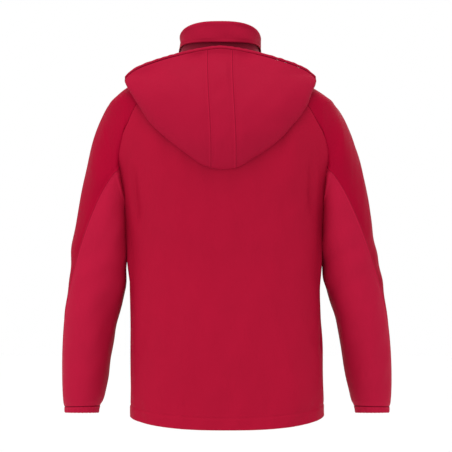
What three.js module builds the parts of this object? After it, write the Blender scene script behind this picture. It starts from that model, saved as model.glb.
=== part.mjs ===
// A hooded hardshell mountain jacket, zipped up, standing in the shape of its wearer.
// Millimetres, +Z up, -Y is the front of the jacket, +X is the wearer's left.
// Heights are first measured from the lowest point of the hem; at the end everything
// is moved so that the hang loop inside the back neck is the origin.
import * as THREE from 'three';
import { mergeVertices } from 'three/addons/utils/BufferGeometryUtils.js';

// ---- overall sizes ------------------------------------------------------------------
const backLength = 752; // lowest hem point to the neck seam, centre back
const bodyWidth = 386; // across the hem, side to side
const chestDepth = 237; // front to back at the chest
const collarWidth = 160;
const collarHeight = 66; // at the centre back
const frontLean = 4; // degrees that the zip line leans back
const sleeveLength = 616; // shoulder point to cuff edge, straight down
const hoodWidth = 382; // across the hood as it lies on the shoulders
const hoodDrop = 248; // brim to the tip of the hood, lying on the back

// ---- cloth and clearances -----------------------------------------------------------
const shellCloth = 2; // outer fabric with its seam allowances and tape
const liningCloth = 1.4;
const seamGap = 0.2; // each panel stops this far short of its seam line
const layerGap = 0.4; // between two layers that lie on each other
const jointGap = 1.6; // between two panels that move against each other

// ---- colours ------------------------------------------------------------------------
const cloth = { roughness: 0.62, metalness: 0 };
const shellRed = { color: 0xb01736, ...cloth };
const sleeveRed = { color: 0xa8072e, ...cloth };
const underSleeveRed = { color: 0xb4213b, ...cloth };
const hoodRed = { color: 0xb31e3c, ...cloth };
const liningRed = { color: 0x7c1226, roughness: 0.8, metalness: 0 };
const zipRed = { color: 0x8e1430, roughness: 0.45, metalness: 0 };
const zipMetal = { color: 0x5c5f66, roughness: 0.3, metalness: 0.9 };
const cordBlack = { color: 0x1c1a1d, roughness: 0.7, metalness: 0 };
const plasticBlack = { color: 0x222226, roughness: 0.4, metalness: 0 };

const group = new THREE.Group();
group.name = 'hardshell_jacket';

// ---- small helpers ------------------------------------------------------------------
const lerp = THREE.MathUtils.lerp;
const radians = THREE.MathUtils.degToRad;
const neckBack = chestDepth * 0.2785; // how far the back neck seam stands behind the middle
const hangLoop = { y: neckBack - 10, z: backLength + 4 };

function addMesh(name, geometry, look) {
  geometry.translate(0, -hangLoop.y, -hangLoop.z);
  const mesh = new THREE.Mesh(geometry, new THREE.MeshStandardMaterial(look));
  mesh.name = name;
  group.add(mesh);
}

function signedPower(value, exponent) {
  return Math.sign(value) * Math.abs(value) ** exponent;
}

// A value carried smoothly through a list of rings; step 2.5 is halfway from ring 2 to 3.
function smoothValue(rings, key, step) {
  const last = rings.length - 1;
  const first = Math.min(Math.max(Math.floor(step), 0), last - 1);
  const at = (index) => rings[Math.min(Math.max(index, 0), last)][key];
  const f = step - first;
  const slopeHere = (at(first + 1) - at(first - 1)) / 2;
  const slopeNext = (at(first + 2) - at(first)) / 2;
  const rise = at(first + 1) - at(first);
  return (
    at(first) +
    slopeHere * f +
    (3 * rise - 2 * slopeHere - slopeNext) * f ** 2 +
    (slopeHere + slopeNext - 2 * rise) * f ** 3
  );
}

function signedVolume(positions, triangles) {
  const [a, b, c] = [new THREE.Vector3(), new THREE.Vector3(), new THREE.Vector3()];
  let volume = 0;
  for (let i = 0; i < triangles.length; i += 3) {
    a.fromArray(positions, 3 * triangles[i]);
    b.fromArray(positions, 3 * triangles[i + 1]);
    c.fromArray(positions, 3 * triangles[i + 2]);
    volume += a.dot(b.cross(c)) / 6;
  }
  return volume;
}

// A point that stands off a surface(a, b) by a distance along its outward direction.
function offSurface(surface, a, b, [tinyA, tinyB], distance) {
  const alongA = surface(a + tinyA, b).sub(surface(a - tinyA, b));
  const alongB = surface(a, b + tinyB).sub(surface(a, b - tinyB));
  return surface(a, b).addScaledVector(alongA.cross(alongB).normalize(), distance);
}

function shrinkEdges(points, across, along, closed) {
  const pull = (edge, inner) => edge.add(inner.clone().sub(edge).setLength(seamGap));
  if (!closed) {
    for (const row of points) {
      pull(row[0], row[1]);
      pull(row[across], row[across - 1]);
    }
  }
  points[0].forEach((point, i) => pull(point, points[1][i]));
  points[along].forEach((point, i) => pull(point, points[along - 1][i]));
}

function gridPoints(surface, across, along, closed, distance) {
  const columns = closed ? across : across + 1;
  const points = [];
  for (let j = 0; j <= along; j += 1) {
    const row = [];
    for (let i = 0; i < columns; i += 1) {
      row.push(surface(i / across, j / along, distance));
    }
    points.push(row);
  }
  shrinkEdges(points, across, along, closed);
  return points;
}

// A curved panel with thickness. surface(u, v, distance) gives a point that far outside
// the sewing surface; the cloth fills the space from low to high.
function clothPanel(surface, across, along, low, high, closed = false) {
  const columns = closed ? across : across + 1;
  const layers = [high, low].map((side) => gridPoints(surface, across, along, closed, side));
  const positions = layers.flat(2).flatMap((point) => point.toArray());
  const layer = columns * (along + 1);
  const index = (i, j, bottom) => (i % columns) + j * columns + (bottom ? layer : 0);
  const triangles = [];
  const quad = (a, b, c, d) => triangles.push(a, b, c, a, c, d);
  for (let j = 0; j < along; j += 1) {
    for (let i = 0; i < across; i += 1) {
      quad(index(i, j), index(i + 1, j), index(i + 1, j + 1), index(i, j + 1));
      quad(index(i, j, 1), index(i, j + 1, 1), index(i + 1, j + 1, 1), index(i + 1, j, 1));
    }
  }
  for (let i = 0; i < across; i += 1) {
    quad(index(i, 0), index(i, 0, 1), index(i + 1, 0, 1), index(i + 1, 0));
    quad(index(i, along), index(i + 1, along), index(i + 1, along, 1), index(i, along, 1));
  }
  if (!closed) {
    for (let j = 0; j < along; j += 1) {
      quad(index(0, j), index(0, j + 1), index(0, j + 1, 1), index(0, j, 1));
      quad(index(across, j), index(across, j, 1), index(across, j + 1, 1), index(across, j + 1));
    }
  }
  if (signedVolume(positions, triangles) < 0) {
    triangles.reverse();
  }
  const geometry = new THREE.BufferGeometry();
  geometry.setAttribute('position', new THREE.Float32BufferAttribute(positions, 3));
  geometry.setIndex(triangles);
  return geometry;
}

// A round cord or a strap of any outline, swept along a line of points.
function sweep(outline, line, steps) {
  const path = new THREE.CatmullRomCurve3(line);
  const geometry = new THREE.ExtrudeGeometry(outline, {
    steps,
    extrudePath: path,
    bevelEnabled: false,
  });
  geometry.deleteAttribute('normal');
  geometry.deleteAttribute('uv');
  return mergeVertices(geometry, 1e-4);
}

function roundOutline(radius, corners) {
  const points = [];
  for (let i = 0; i < corners; i += 1) {
    const angle = (2 * Math.PI * i) / corners;
    points.push(new THREE.Vector2(radius * Math.cos(angle), radius * Math.sin(angle)));
  }
  return new THREE.Shape(points);
}

// ---- the body: rings from the hem up to the collar's top edge -------------------------
// Each ring: its height at the back, side and front, its half width and its back's place.
const neck = backLength;
const half = bodyWidth / 2;
const backDepth = chestDepth * 0.565; // how far the shoulder blades stand behind the middle
const bodyRings = [
  [0, 28, 38, half, backDepth * 0.88],
  [0.08 * neck, 0.1 * neck, 0.11 * neck, half, backDepth * 0.87],
  [0.225 * neck, 0.23 * neck, 0.235 * neck, half - 2, backDepth * 0.84],
  [0.43 * neck, 0.43 * neck, 0.43 * neck, half - 3, backDepth * 0.83],
  [0.585 * neck, 0.585 * neck, 0.58 * neck, half + 4, backDepth * 0.92],
  [0.75 * neck, 0.745 * neck, 0.73 * neck, half + 27, backDepth],
  [0.825 * neck, 0.813 * neck, 0.785 * neck, half + 33, backDepth * 0.96],
  [0.87 * neck, 0.85 * neck, 0.82 * neck, half + 36, backDepth * 0.9],
  [0.903 * neck, 0.87 * neck, 0.845 * neck, half + 30, backDepth * 0.83],
  [0.93 * neck, 0.887 * neck, 0.865 * neck, half + 13, backDepth * 0.76],
  [0.954 * neck, 0.912 * neck, 0.883 * neck, half - 16, backDepth * 0.68],
  [0.978 * neck, 0.952 * neck, 0.9 * neck, half * 0.69, backDepth * 0.585],
  [neck, neck - 7, neck - 66, collarWidth / 2 + 7, neckBack],
  [neck + collarHeight / 2, neck + 16, neck - 30, collarWidth / 2 + 1, neckBack - 2],
  [neck + collarHeight, neck + 36, neck + 6, collarWidth / 2, neckBack - 4],
].map(([back, side, front, halfWidth, backY]) => ({ back, side, front, halfWidth, backY }));
const notchStep = 5; // ring where the raglan seams reach the armhole
const neckStep = 12; // ring of the neck seam
const topStep = 14; // ring of the collar's top edge
const armholeAbove = 2.6; // the armhole reaches this many rings above the notch
const armholeBelow = 1;
const squareness = 2.6; // 2 would be an ellipse
const frontAtHem = chestDepth * 0.6; // how far the zip stands in front of the middle

function frontY(height) {
  return Math.tan(radians(frontLean)) * height - frontAtHem;
}

function bodyPoint(angle, step) {
  const value = (key) => smoothValue(bodyRings, key, step);
  const [back, side, front] = [value('back'), value('side'), value('front')];
  const nearest = frontY(front);
  const centre = (value('backY') + nearest) / 2;
  const depth = (value('backY') - nearest) / 2;
  const sine = Math.sin(radians(angle));
  const cosine = Math.cos(radians(angle));
  const middle = (back + front) / 2;
  return new THREE.Vector3(
    value('halfWidth') * signedPower(sine, 2 / squareness),
    centre - depth * signedPower(cosine, 2 / squareness),
    middle - (cosine * (back - front)) / 2 + (side - middle) * sine ** 2,
  );
}

function offBody(angle, step, distance) {
  return offSurface(bodyPoint, angle, step, [0.5, 0.02], distance);
}

// Angles run from 0 at the zip, over 90 at the wearer's left, to 180 at the centre back.
const backSeam = [112, 113, 114, 115, 116, 118, 129, 137, 142, 145, 148, 150, 152].map(toRing);
const frontSeam = [68, 66, 64, 62, 60, 56, 50, 47, 45, 43, 41, 40, 39].map(toRing);
function toRing(angle) {
  return { angle };
}

const backSeamAngle = (step) => smoothValue(backSeam, 'angle', step);
const frontSeamAngle = (step) => smoothValue(frontSeam, 'angle', step);

function angleAtX(x, step) {
  const share = x / smoothValue(bodyRings, 'halfWidth', step);
  return THREE.MathUtils.radToDeg(Math.asin(share ** (squareness / 2)));
}

const lowerRows = 9; // rows of faces from the hem to the notch
const upperRows = 8; // and from there to the neck
const rowShare = lowerRows / (lowerRows + upperRows);

function bodyStep(v) {
  if (v <= rowShare) {
    return (notchStep * v) / rowShare;
  }
  return lerp(notchStep, neckStep, (v - rowShare) / (1 - rowShare));
}

const zip = {
  chainInner: 1.1,
  chainOuter: 3.6,
  tapeOuter: 9,
  chainThickness: 3,
};
const frontPanelEdge = zip.tapeOuter + layerGap;
const halfShell = shellCloth / 2;
const mirrored = (angle, side) => (side > 0 ? angle : 360 - angle);
const sides = [
  { name: 'left', side: 1 },
  { name: 'right', side: -1 },
];

function addBackPanel() {
  const surface = (u, v, out) => {
    const step = bodyStep(v);
    const edge = backSeamAngle(step);
    return offBody(lerp(edge, 360 - edge, u), step, out);
  };
  const rows = lowerRows + upperRows;
  addMesh('back_panel', clothPanel(surface, 16, rows, -halfShell, halfShell), shellRed);
}

function addFrontPanel({ name, side }) {
  const surface = (u, v, out) => {
    const step = bodyStep(v);
    const start = angleAtX(frontPanelEdge, step);
    return offBody(mirrored(lerp(start, frontSeamAngle(step), u), side), step, out);
  };
  const rows = lowerRows + upperRows;
  const geometry = clothPanel(surface, 7, rows, -halfShell, halfShell);
  addMesh(`${name}_front_panel`, geometry, shellRed);
}

// Across the strip between the front and back seams, packed closer near the seams.
function stripAngle(u, step) {
  return lerp(frontSeamAngle(step), backSeamAngle(step), u);
}

function packed(u) {
  return 0.5 - 0.5 * Math.cos(Math.PI * u);
}

function addSidePanel({ name, side }) {
  const surface = (u, v, out) => {
    const share = packed(u);
    const top = notchStep - armholeBelow * Math.sin(Math.PI * u);
    const step = v * top;
    return offBody(mirrored(stripAngle(share, step), side), step, out);
  };
  const geometry = clothPanel(surface, 6, lowerRows, -halfShell, halfShell);
  addMesh(`${name}_side_panel`, geometry, shellRed);
}

function addShoulderCap({ name, side }) {
  const surface = (u, v, out) => {
    const share = packed(u);
    const bottom = notchStep + (armholeAbove + 0.1) * Math.sin(Math.PI * u);
    const step = lerp(bottom, neckStep, v);
    return offBody(mirrored(stripAngle(share, step), side), step, out);
  };
  const geometry = clothPanel(surface, 10, upperRows, -halfShell, halfShell);
  addMesh(`${name}_sleeve_cap`, geometry, sleeveRed);
}

// ---- collar -----------------------------------------------------------------------------
const collarFoldRise = 0.72; // the outer collar stops this part of a ring higher at the back
const innerCollarCloth = 2.4;
const innerCollarOut = -halfShell - 3 * layerGap;

function collarSurface(lowest, highest) {
  return (u, v, out) => {
    const edge = angleAtX(frontPanelEdge, topStep);
    const angle = lerp(edge, 360 - edge, u);
    return offBody(angle, lerp(lowest(angle), highest, v), out);
  };
}

function addCollar() {
  const foldStep = (angle) => {
    return neckStep + collarFoldRise * (0.5 - 0.5 * Math.cos(radians(angle))) ** 0.8;
  };
  const outer = collarSurface(foldStep, topStep);
  addMesh('outer_collar', clothPanel(outer, 32, 4, -halfShell, halfShell), hoodRed);
  const innerLow = () => neckStep + 0.03;
  const inner = collarSurface(innerLow, topStep - 0.04);
  const geometry = clothPanel(inner, 32, 4, innerCollarOut - innerCollarCloth, innerCollarOut);
  addMesh('inner_collar', geometry, liningRed);
}

// The chin guard covers the left front corner inside the collar.
const chinGuard = { besideZip: 5, backAngle: 34, lowStep: topStep - 0.85, highStep: topStep - 0.12 };

function addChinGuard() {
  const out = innerCollarOut - innerCollarCloth - 2 * layerGap;
  const surface = (u, v, distance) => {
    const frontAngle = angleAtX(frontPanelEdge + chinGuard.besideZip, topStep);
    const step = lerp(chinGuard.lowStep, chinGuard.highStep, v);
    return offBody(lerp(frontAngle, chinGuard.backAngle, u), step, distance);
  };
  addMesh('chin_guard', clothPanel(surface, 5, 4, out - liningCloth, out), zipRed);
}

// ---- hem with its drawcord ----------------------------------------------------------------
const hemHeightSteps = 0.36; // height of the hem tunnel, in rings
const cordRadius = 1.4;
const hemCordDepth = halfShell + 2 * layerGap + cordRadius;
const hemTunnelDepth = hemCordDepth + cordRadius + 3 * layerGap;

function addHemFacing() {
  const surface = (u, v, out) => {
    const step = lerp(0.02, hemHeightSteps, v);
    const edge = angleAtX(frontPanelEdge + 4, step);
    const angle = lerp(edge, 360 - edge, u);
    const shallow = halfShell + layerGap + liningCloth / 2;
    const deep = hemTunnelDepth + liningCloth / 2;
    const depth = lerp(shallow, deep, Math.sin(Math.PI * v) ** 0.4);
    return offBody(angle, step, out - depth);
  };
  const geometry = clothPanel(surface, 36, 4, -liningCloth / 2, liningCloth / 2);
  addMesh('hem_facing', geometry, liningRed);
}

function addHemCord() {
  const line = [];
  const points = 46;
  for (let i = 0; i <= points; i += 1) {
    line.push(offBody(lerp(9, 351, i / points), hemHeightSteps / 2, -hemCordDepth));
  }
  addMesh('hem_drawcord', sweep(roundOutline(cordRadius, 6), line, 44), cordBlack);
}

const cordLock = { angle: 122, radius: 6, height: 15, plungerRadius: 3.6, plungerHeight: 7 };
const plungerTravel = 4;

function cylinderAt(radius, height, place) {
  const geometry = new THREE.CylinderGeometry(radius, radius, height, 12);
  geometry.rotateX(Math.PI / 2);
  geometry.translate(place.x, place.y, place.z);
  geometry.deleteAttribute('normal');
  geometry.deleteAttribute('uv');
  return mergeVertices(geometry, 1e-4);
}

function cordLockPlace(side) {
  const depth = hemTunnelDepth + liningCloth + layerGap + cordLock.radius;
  return offBody(mirrored(cordLock.angle, side), hemHeightSteps / 2, -depth - 0.4);
}

function addCordLock({ name, side }) {
  const place = cordLockPlace(side);
  const body = cylinderAt(cordLock.radius, cordLock.height, place);
  addMesh(`${name}_cord_lock`, body, plasticBlack);
  const lift = cordLock.height / 2 + plungerTravel + cordLock.plungerHeight / 2 + layerGap;
  const top = place.clone().setZ(place.z + lift);
  const plunger = cylinderAt(cordLock.plungerRadius, cordLock.plungerHeight, top);
  addMesh(`${name}_cord_lock_plunger`, plunger, plasticBlack);
}

// ---- front zip ---------------------------------------------------------------------------
const leanDirection = new THREE.Vector3(0, Math.sin(radians(frontLean)), Math.cos(radians(frontLean)));
const outDirection = new THREE.Vector3(0, -leanDirection.z, leanDirection.y);
const zipBottomStep = 0.28;
const zipTopStep = topStep - 0.1;

function zipStrip(fromX, toX, side, bottomStep, upperStep) {
  return (u, v, out) => {
    const step = lerp(bottomStep, upperStep, v);
    const place = bodyPoint(mirrored(angleAtX(lerp(fromX, toX, u), step), side), step);
    return place.addScaledVector(outDirection, out);
  };
}

function addZipHalf({ name, side }) {
  const tape = zipStrip(zip.chainOuter, zip.tapeOuter, side, 0.02, topStep - 0.02);
  const tapeGeometry = clothPanel(tape, 1, 16, -liningCloth / 2, liningCloth / 2);
  addMesh(`${name}_zip_tape`, tapeGeometry, zipRed);
  const chain = zipStrip(zip.chainInner, zip.chainOuter, side, zipBottomStep, zipTopStep);
  const thick = zip.chainThickness / 2;
  addMesh(`${name}_zip_chain`, clothPanel(chain, 1, 16, -thick, thick), zipRed);
}

const slider = {
  width: 10,
  length: 13,
  plate: 1.3,
  bridge: 1.2,
  clearance: 0.45,
};
const pull = { width: 7, length: 34, thickness: 1.6, pin: 0.9 };

// The zip line: a point on it, measured down from the collar's top edge.
function zipPoint(down) {
  const top = bodyPoint(0, topStep);
  return top.addScaledVector(leanDirection, -down);
}

function alongZip(geometry, down, out) {
  geometry.rotateX(-radians(frontLean));
  const place = zipPoint(down).addScaledVector(outDirection, out);
  geometry.translate(place.x, place.y, place.z);
  return geometry;
}

function plainSolid(geometry) {
  geometry.deleteAttribute('normal');
  geometry.deleteAttribute('uv');
  return mergeVertices(geometry, 1e-4);
}

function boxSolid(width, depth, height) {
  return plainSolid(new THREE.BoxGeometry(width, depth, height));
}

// The slider wraps the chain: a plate in front, one behind and a bridge between them.
function addSlider() {
  const inner = zip.chainThickness / 2 + slider.clearance;
  const outer = inner + slider.plate;
  const w = slider.width / 2;
  const b = slider.bridge / 2;
  const outline = new THREE.Shape();
  outline.moveTo(-w, inner);
  outline.lineTo(-b, inner);
  outline.lineTo(-b, -inner);
  outline.lineTo(-w, -inner);
  outline.lineTo(-w, -outer);
  outline.lineTo(w, -outer);
  outline.lineTo(w, -inner);
  outline.lineTo(b, -inner);
  outline.lineTo(b, inner);
  outline.lineTo(w, inner);
  outline.lineTo(w, outer);
  outline.lineTo(-w, outer);
  const geometry = new THREE.ExtrudeGeometry(outline, { depth: slider.length, bevelEnabled: false });
  geometry.translate(0, 0, -slider.length / 2);
  addMesh('zip_slider', alongZip(plainSolid(geometry), sliderDown, 0), zipMetal);
}

const sliderDown = 16; // from the collar's top edge to the middle of the closed slider
const layerBehindSlider = slider.clearance + slider.plate + zip.chainThickness / 2;

function addPull() {
  const out = layerBehindSlider + 2 * layerGap + pull.thickness / 2;
  const down = sliderDown + pull.length / 2 - pull.pin;
  const tab = boxSolid(pull.width, pull.thickness, pull.length);
  addMesh('zip_pull', alongZip(tab, down, out), zipMetal);
}

const retainer = { width: 6.6, depth: 4.4, height: 11 };

function addZipEnds() {
  const box = boxSolid(retainer.width, retainer.depth, retainer.height);
  const length = zipPoint(0).distanceTo(bodyPoint(0, zipBottomStep));
  const down = length + retainer.height / 2 + layerGap;
  addMesh('zip_retainer_box', alongZip(box, down, 0), zipMetal);
}

// The flap behind the zip is sewn to the left front and reaches past the chain.
const stormFlap = { freeX: -14, sewnX: 30, lowStep: 0.42, highStep: neckStep - 0.4, slack: 1.5 };

function addStormFlap() {
  const surface = (u, v, out) => {
    const step = lerp(stormFlap.lowStep, stormFlap.highStep, v);
    const x = lerp(stormFlap.freeX, stormFlap.sewnX, u);
    const angle = x < 0 ? 360 - angleAtX(-x, step) : angleAtX(x, step);
    const sewn = halfShell + layerGap + liningCloth;
    const deep = layerBehindSlider + stormFlap.slack;
    const behindZip = THREE.MathUtils.smoothstep(x, zip.tapeOuter + 3, stormFlap.sewnX - 4);
    const depth = lerp(deep, sewn, behindZip);
    return bodyPoint(angle, step).addScaledVector(outDirection, out - depth);
  };
  const geometry = clothPanel(surface, 6, 12, -liningCloth / 2, liningCloth / 2);
  addMesh('storm_flap', geometry, liningRed);
}

// ---- hand pockets ----------------------------------------------------------------------------
const pocket = { lowAngle: 43, highAngle: 34, lowStep: 1.75, highStep: 2.75, zipWidth: 5, zipDepth: 2 };
const pocketSlider = { width: 7, depth: 3, length: 11 };
// The pocket bag hangs behind the front, wider at its foot than at its top.
const pocketBag = {
  below: 0.45, // rings that it reaches past each end of the zip
  above: 0.25,
  lowFrontAngle: 15,
  highFrontAngle: 24,
  lowSideAngle: 46,
  highSideAngle: 38,
  thickness: 2,
};

function pocketLine(side, out) {
  const low = offBody(mirrored(pocket.lowAngle, side), pocket.lowStep, out);
  const high = offBody(mirrored(pocket.highAngle, side), pocket.highStep, out);
  return { low, high };
}

// A straight bar from low to high whose broad face looks away from the body.
function barBetween(low, high, outward, width, depth, length, centre) {
  const up = high.clone().sub(low).normalize();
  const across = new THREE.Vector3().crossVectors(outward, up).normalize();
  const out = new THREE.Vector3().crossVectors(up, across).normalize();
  const turn = new THREE.Matrix4().makeBasis(across, out, up);
  const geometry = boxSolid(width, depth, length);
  geometry.applyMatrix4(turn);
  geometry.translate(centre.x, centre.y, centre.z);
  return geometry;
}

function addPocket({ name, side }) {
  const bulge = 2.2; // the body is this much rounder than the straight zip line
  const out = halfShell + bulge + pocket.zipDepth / 2;
  const { low, high } = pocketLine(side, out);
  const foot = bodyPoint(mirrored(pocket.highAngle, side), pocket.highStep);
  const outward = high.clone().sub(foot).normalize();
  const length = low.distanceTo(high);
  const middle = low.clone().lerp(high, 0.5);
  const zipBar = barBetween(low, high, outward, pocket.zipWidth, pocket.zipDepth, length, middle);
  addMesh(`${name}_pocket_zip`, zipBar, zipRed);
  const { width, depth, length: long } = pocketSlider;
  const share = (long / 2 + 3) / length;
  const lift = (pocket.zipDepth + depth) / 2 + layerGap;
  const place = high.clone().lerp(low, share).addScaledVector(outward, lift);
  addMesh(`${name}_pocket_slider`, barBetween(low, high, outward, width, depth, long, place), zipMetal);
  const bag = (u, v, distance) => {
    const step = lerp(pocket.lowStep - pocketBag.below, pocket.highStep + pocketBag.above, v);
    const rise = THREE.MathUtils.smoothstep(v, 0.05, 0.65);
    const inner = lerp(pocketBag.lowFrontAngle, pocketBag.highFrontAngle, rise);
    const outer = lerp(pocketBag.lowSideAngle, pocketBag.highSideAngle, v);
    return offBody(mirrored(lerp(inner, outer, u), side), step, distance);
  };
  const bagOut = -halfShell - 2 * layerGap;
  const bagGeometry = clothPanel(bag, 5, 6, bagOut - pocketBag.thickness, bagOut);
  addMesh(`${name}_pocket_bag`, bagGeometry, liningRed);
}

// ---- sleeves -----------------------------------------------------------------------------------
// Each ring runs from an outer point to an inner point; down is a share of the sleeve length.
const shoulderTop = bodyPoint(90, notchStep + armholeAbove);
const armholeOut = 2.4;
const sleeveRings = [
  { outX: 8, outDown: 0.02, inX: 8.5, inDown: 0.335, depth: 68, midY: 8 },
  { outX: 20, outDown: 0.062, inX: 8.5, inDown: 0.35, depth: 70, midY: 5 },
  { outX: 34, outDown: 0.125, inX: 8, inDown: 0.375, depth: 72, midY: 1 },
  { outX: 48, outDown: 0.21, inX: 7, inDown: 0.405, depth: 73, midY: -3 },
  { outX: 60, outDown: 0.31, inX: 6, inDown: 0.44, depth: 72, midY: -7 },
  { outX: 72, outDown: 0.415, inX: 5, inDown: 0.475, depth: 70, midY: -11 },
  { outX: 80, outDown: 0.5, inX: 4.5, inDown: 0.5, depth: 67, midY: -14 },
  { outX: 88, outDown: 0.585, inX: 8, inDown: 0.585, depth: 63, midY: -19 },
  { outX: 97, outDown: 0.69, inX: 22, inDown: 0.69, depth: 60, midY: -27 },
  { outX: 102, outDown: 0.8, inX: 37, inDown: 0.8, depth: 56, midY: -39 },
  { outX: 103, outDown: 0.9, inX: 49, inDown: 0.9, depth: 51, midY: -52 },
  { outX: 101, outDown: 0.965, inX: 58, inDown: 0.962, depth: 46, midY: -61 },
  { outX: 97, outDown: 0.985, inX: 66, inDown: 0.982, depth: 41, midY: -64 },
  { outX: 98, outDown: 1, inX: 66, inDown: 1, depth: 41, midY: -66 },
];
const elbowStep = 7; // the whole-number step below counts the armhole as step 0
const cuffStep = 12.54;
const sleeveEnd = 14;

function armholePoint(turn) {
  const share = 0.5 + 0.5 * Math.sin(radians(turn));
  const height = Math.cos(radians(turn));
  const step = notchStep + (height > 0 ? armholeAbove : armholeBelow) * height;
  return offBody(stripAngle(share, step), step, armholeOut + halfShell);
}

function ringPoint(ring, turn) {
  const outerX = shoulderTop.x + ring.outX;
  const innerX = half + ring.inX;
  const outerZ = shoulderTop.z - ring.outDown * sleeveLength;
  const innerZ = shoulderTop.z - ring.inDown * sleeveLength;
  const share = 0.5 + 0.5 * Math.cos(radians(turn));
  return new THREE.Vector3(
    lerp(innerX, outerX, share),
    ring.midY + ring.depth * Math.sin(radians(turn)),
    lerp(innerZ, outerZ, share),
  );
}

// turn is 0 at the outside of the arm, 90 at the back, 180 inside and 270 at the front.
function sleevePoint(turn, step, side) {
  const last = sleeveRings.length;
  const at = (index) => {
    const ring = Math.min(Math.max(index, 0), last);
    return ring === 0 ? armholePoint(turn) : ringPoint(sleeveRings[ring - 1], turn);
  };
  const first = Math.min(Math.floor(step), last - 1);
  const knots = [at(first - 1), at(first), at(first + 1), at(first + 2)];
  const rings = (key) => knots.map((point) => ({ value: point[key] }));
  const value = (key) => smoothValue(rings(key), 'value', 1 + step - first);
  return new THREE.Vector3(side * value('x'), value('y'), value('z'));
}

function offSleeve(turn, step, side, distance) {
  const surface = (a, b) => sleevePoint(a, b, side);
  return offSurface(surface, turn, step, [0.5, 0.02], side * distance);
}

// The seam between the upper and the under panel runs from the notch to the outer edge.
const seamTurns = [93, 100, 96, 88, 77, 64, 50, 39, 26, 10, 2, 0, 0, 0, 0].map(toRing);
const backTurn = (step) => smoothValue(seamTurns, 'angle', step);
const frontTurn = (step) => -92 - 2 * step;
const ringSpacing = 44; // usual distance from one ring of the sleeve to the next

const sleeveParts = [
  { part: 'sleeve', from: 0, to: elbowStep, rows: 8 },
  { part: 'forearm', from: elbowStep, to: cuffStep, rows: 6 },
];

function addSleevePart({ name, side }, { part, from, to, rows }) {
  const panels = [
    { piece: 'upper', look: sleeveRed, start: frontTurn, end: backTurn, across: 7 },
    { piece: 'under', look: underSleeveRed, start: backTurn, end: (s) => frontTurn(s) + 360, across: 9 },
  ];
  const spare = jointGap / 2 / ringSpacing;
  for (const { piece, look, start, end, across } of panels) {
    const surface = (u, v, out) => {
      const low = from === 0 ? 0 : from + spare;
      const high = to === elbowStep ? to - spare : to;
      const step = lerp(low, high, v);
      return offSleeve(lerp(start(step), end(step), u), step, side, out);
    };
    const geometry = clothPanel(surface, across, rows, -halfShell, halfShell);
    addMesh(`${name}_${part}_${piece}_panel`, geometry, look);
  }
}

// The cuff is a folded tunnel with an elastic band inside it.
function addCuff({ name, side }) {
  const halfWidth = 2.6; // of the hollow between the two layers
  const length = 14;
  const ringLength = 10; // between the last rings of the sleeve
  const fold = (u, v, out) => {
    const turn = Math.PI * (v - 0.5);
    const facing = new THREE.Vector2(Math.cos(turn) / length, -Math.sin(turn) / halfWidth);
    facing.setLength(out);
    const down = length * (Math.cos(turn) - 1) + facing.x;
    const spread = facing.y - halfWidth * Math.sin(turn);
    return offSleeve(360 * u, sleeveEnd + down / ringLength, side, spread);
  };
  const geometry = clothPanel(fold, 16, 8, -liningCloth / 2, liningCloth / 2, true);
  addMesh(`${name}_cuff_band`, geometry, underSleeveRed);
  const band = (u, v, out) => {
    return offSleeve(360 * u, lerp(cuffStep + 0.3, sleeveEnd - 0.45, v), side, out);
  };
  addMesh(`${name}_cuff_elastic`, clothPanel(band, 16, 1, -0.6, 0.6, true), cordBlack);
}

// ---- hood, lying on the back as an open pouch -----------------------------------------------------
const brimTop = neck + 16;
const wingTop = neck - 46;
const hoodHalf = hoodWidth / 2;
const gussetHalf = 25;
const hoodBelly = 46;

function brimHeight(x) {
  const out = Math.abs(x) / hoodHalf;
  return brimTop - (brimTop - wingTop) * out ** 1.35;
}

// The lower outline: a blunt tip, then a slope up to the wing on the shoulder.
function foldHeight(x) {
  const tip = brimTop - hoodDrop;
  const out = Math.max(0, Math.abs(x) - gussetHalf) / (hoodHalf - gussetHalf);
  return tip + (wingTop - 10 - tip) * (0.62 * out ** 1.05 + 0.38 * out ** 4);
}

// The ring whose back is at a height, found by halving.
function stepAtBack(height) {
  let [low, high] = [0, topStep];
  for (let i = 0; i < 30; i += 1) {
    const middle = (low + high) / 2;
    if (smoothValue(bodyRings, 'back', middle) < height) {
      low = middle;
    } else {
      high = middle;
    }
  }
  return low;
}

// The lying surface of the hood clears the back and the shoulders.
function hoodRestY(x, height) {
  const clear = 5;
  const step = stepAtBack(height);
  const behind = smoothValue(bodyRings, 'backY', Math.min(step, neckStep)) + clear;
  const middle = (behind + frontY(smoothValue(bodyRings, 'front', step))) / 2;
  const wide = Math.max(smoothValue(bodyRings, 'halfWidth', step), hoodHalf) + 22;
  const share = Math.abs(x) / wide;
  return middle + (behind - middle) * (1 - share ** squareness) ** (1 / squareness);
}

function hoodPoint(x, v) {
  const fold = Math.sin(Math.PI * v);
  const height = lerp(brimHeight(x), foldHeight(x), fold);
  const rest = hoodRestY(x, height);
  if (v > 0.5) {
    return new THREE.Vector3(x, rest, height);
  }
  const out = Math.abs(x) / hoodHalf;
  const belly = hoodBelly * (1 - 0.7 * out ** 2);
  const puff = belly * Math.sqrt(Math.max(0, 1 - fold)) * (0.42 + 0.9 * fold);
  return new THREE.Vector3(x, rest + puff, height);
}

function offHood(x, v, distance) {
  return offSurface(hoodPoint, x, v, [-0.5, 0.004], distance);
}

const brimChannel = cordRadius + 3.5 * layerGap + liningCloth / 2; // its radius
const brimBand = 2 * brimChannel + halfShell; // the panels stop this far below the brim's top
const brimToNeck = 20; // how far the brim stands above the hood's neck seam

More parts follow.
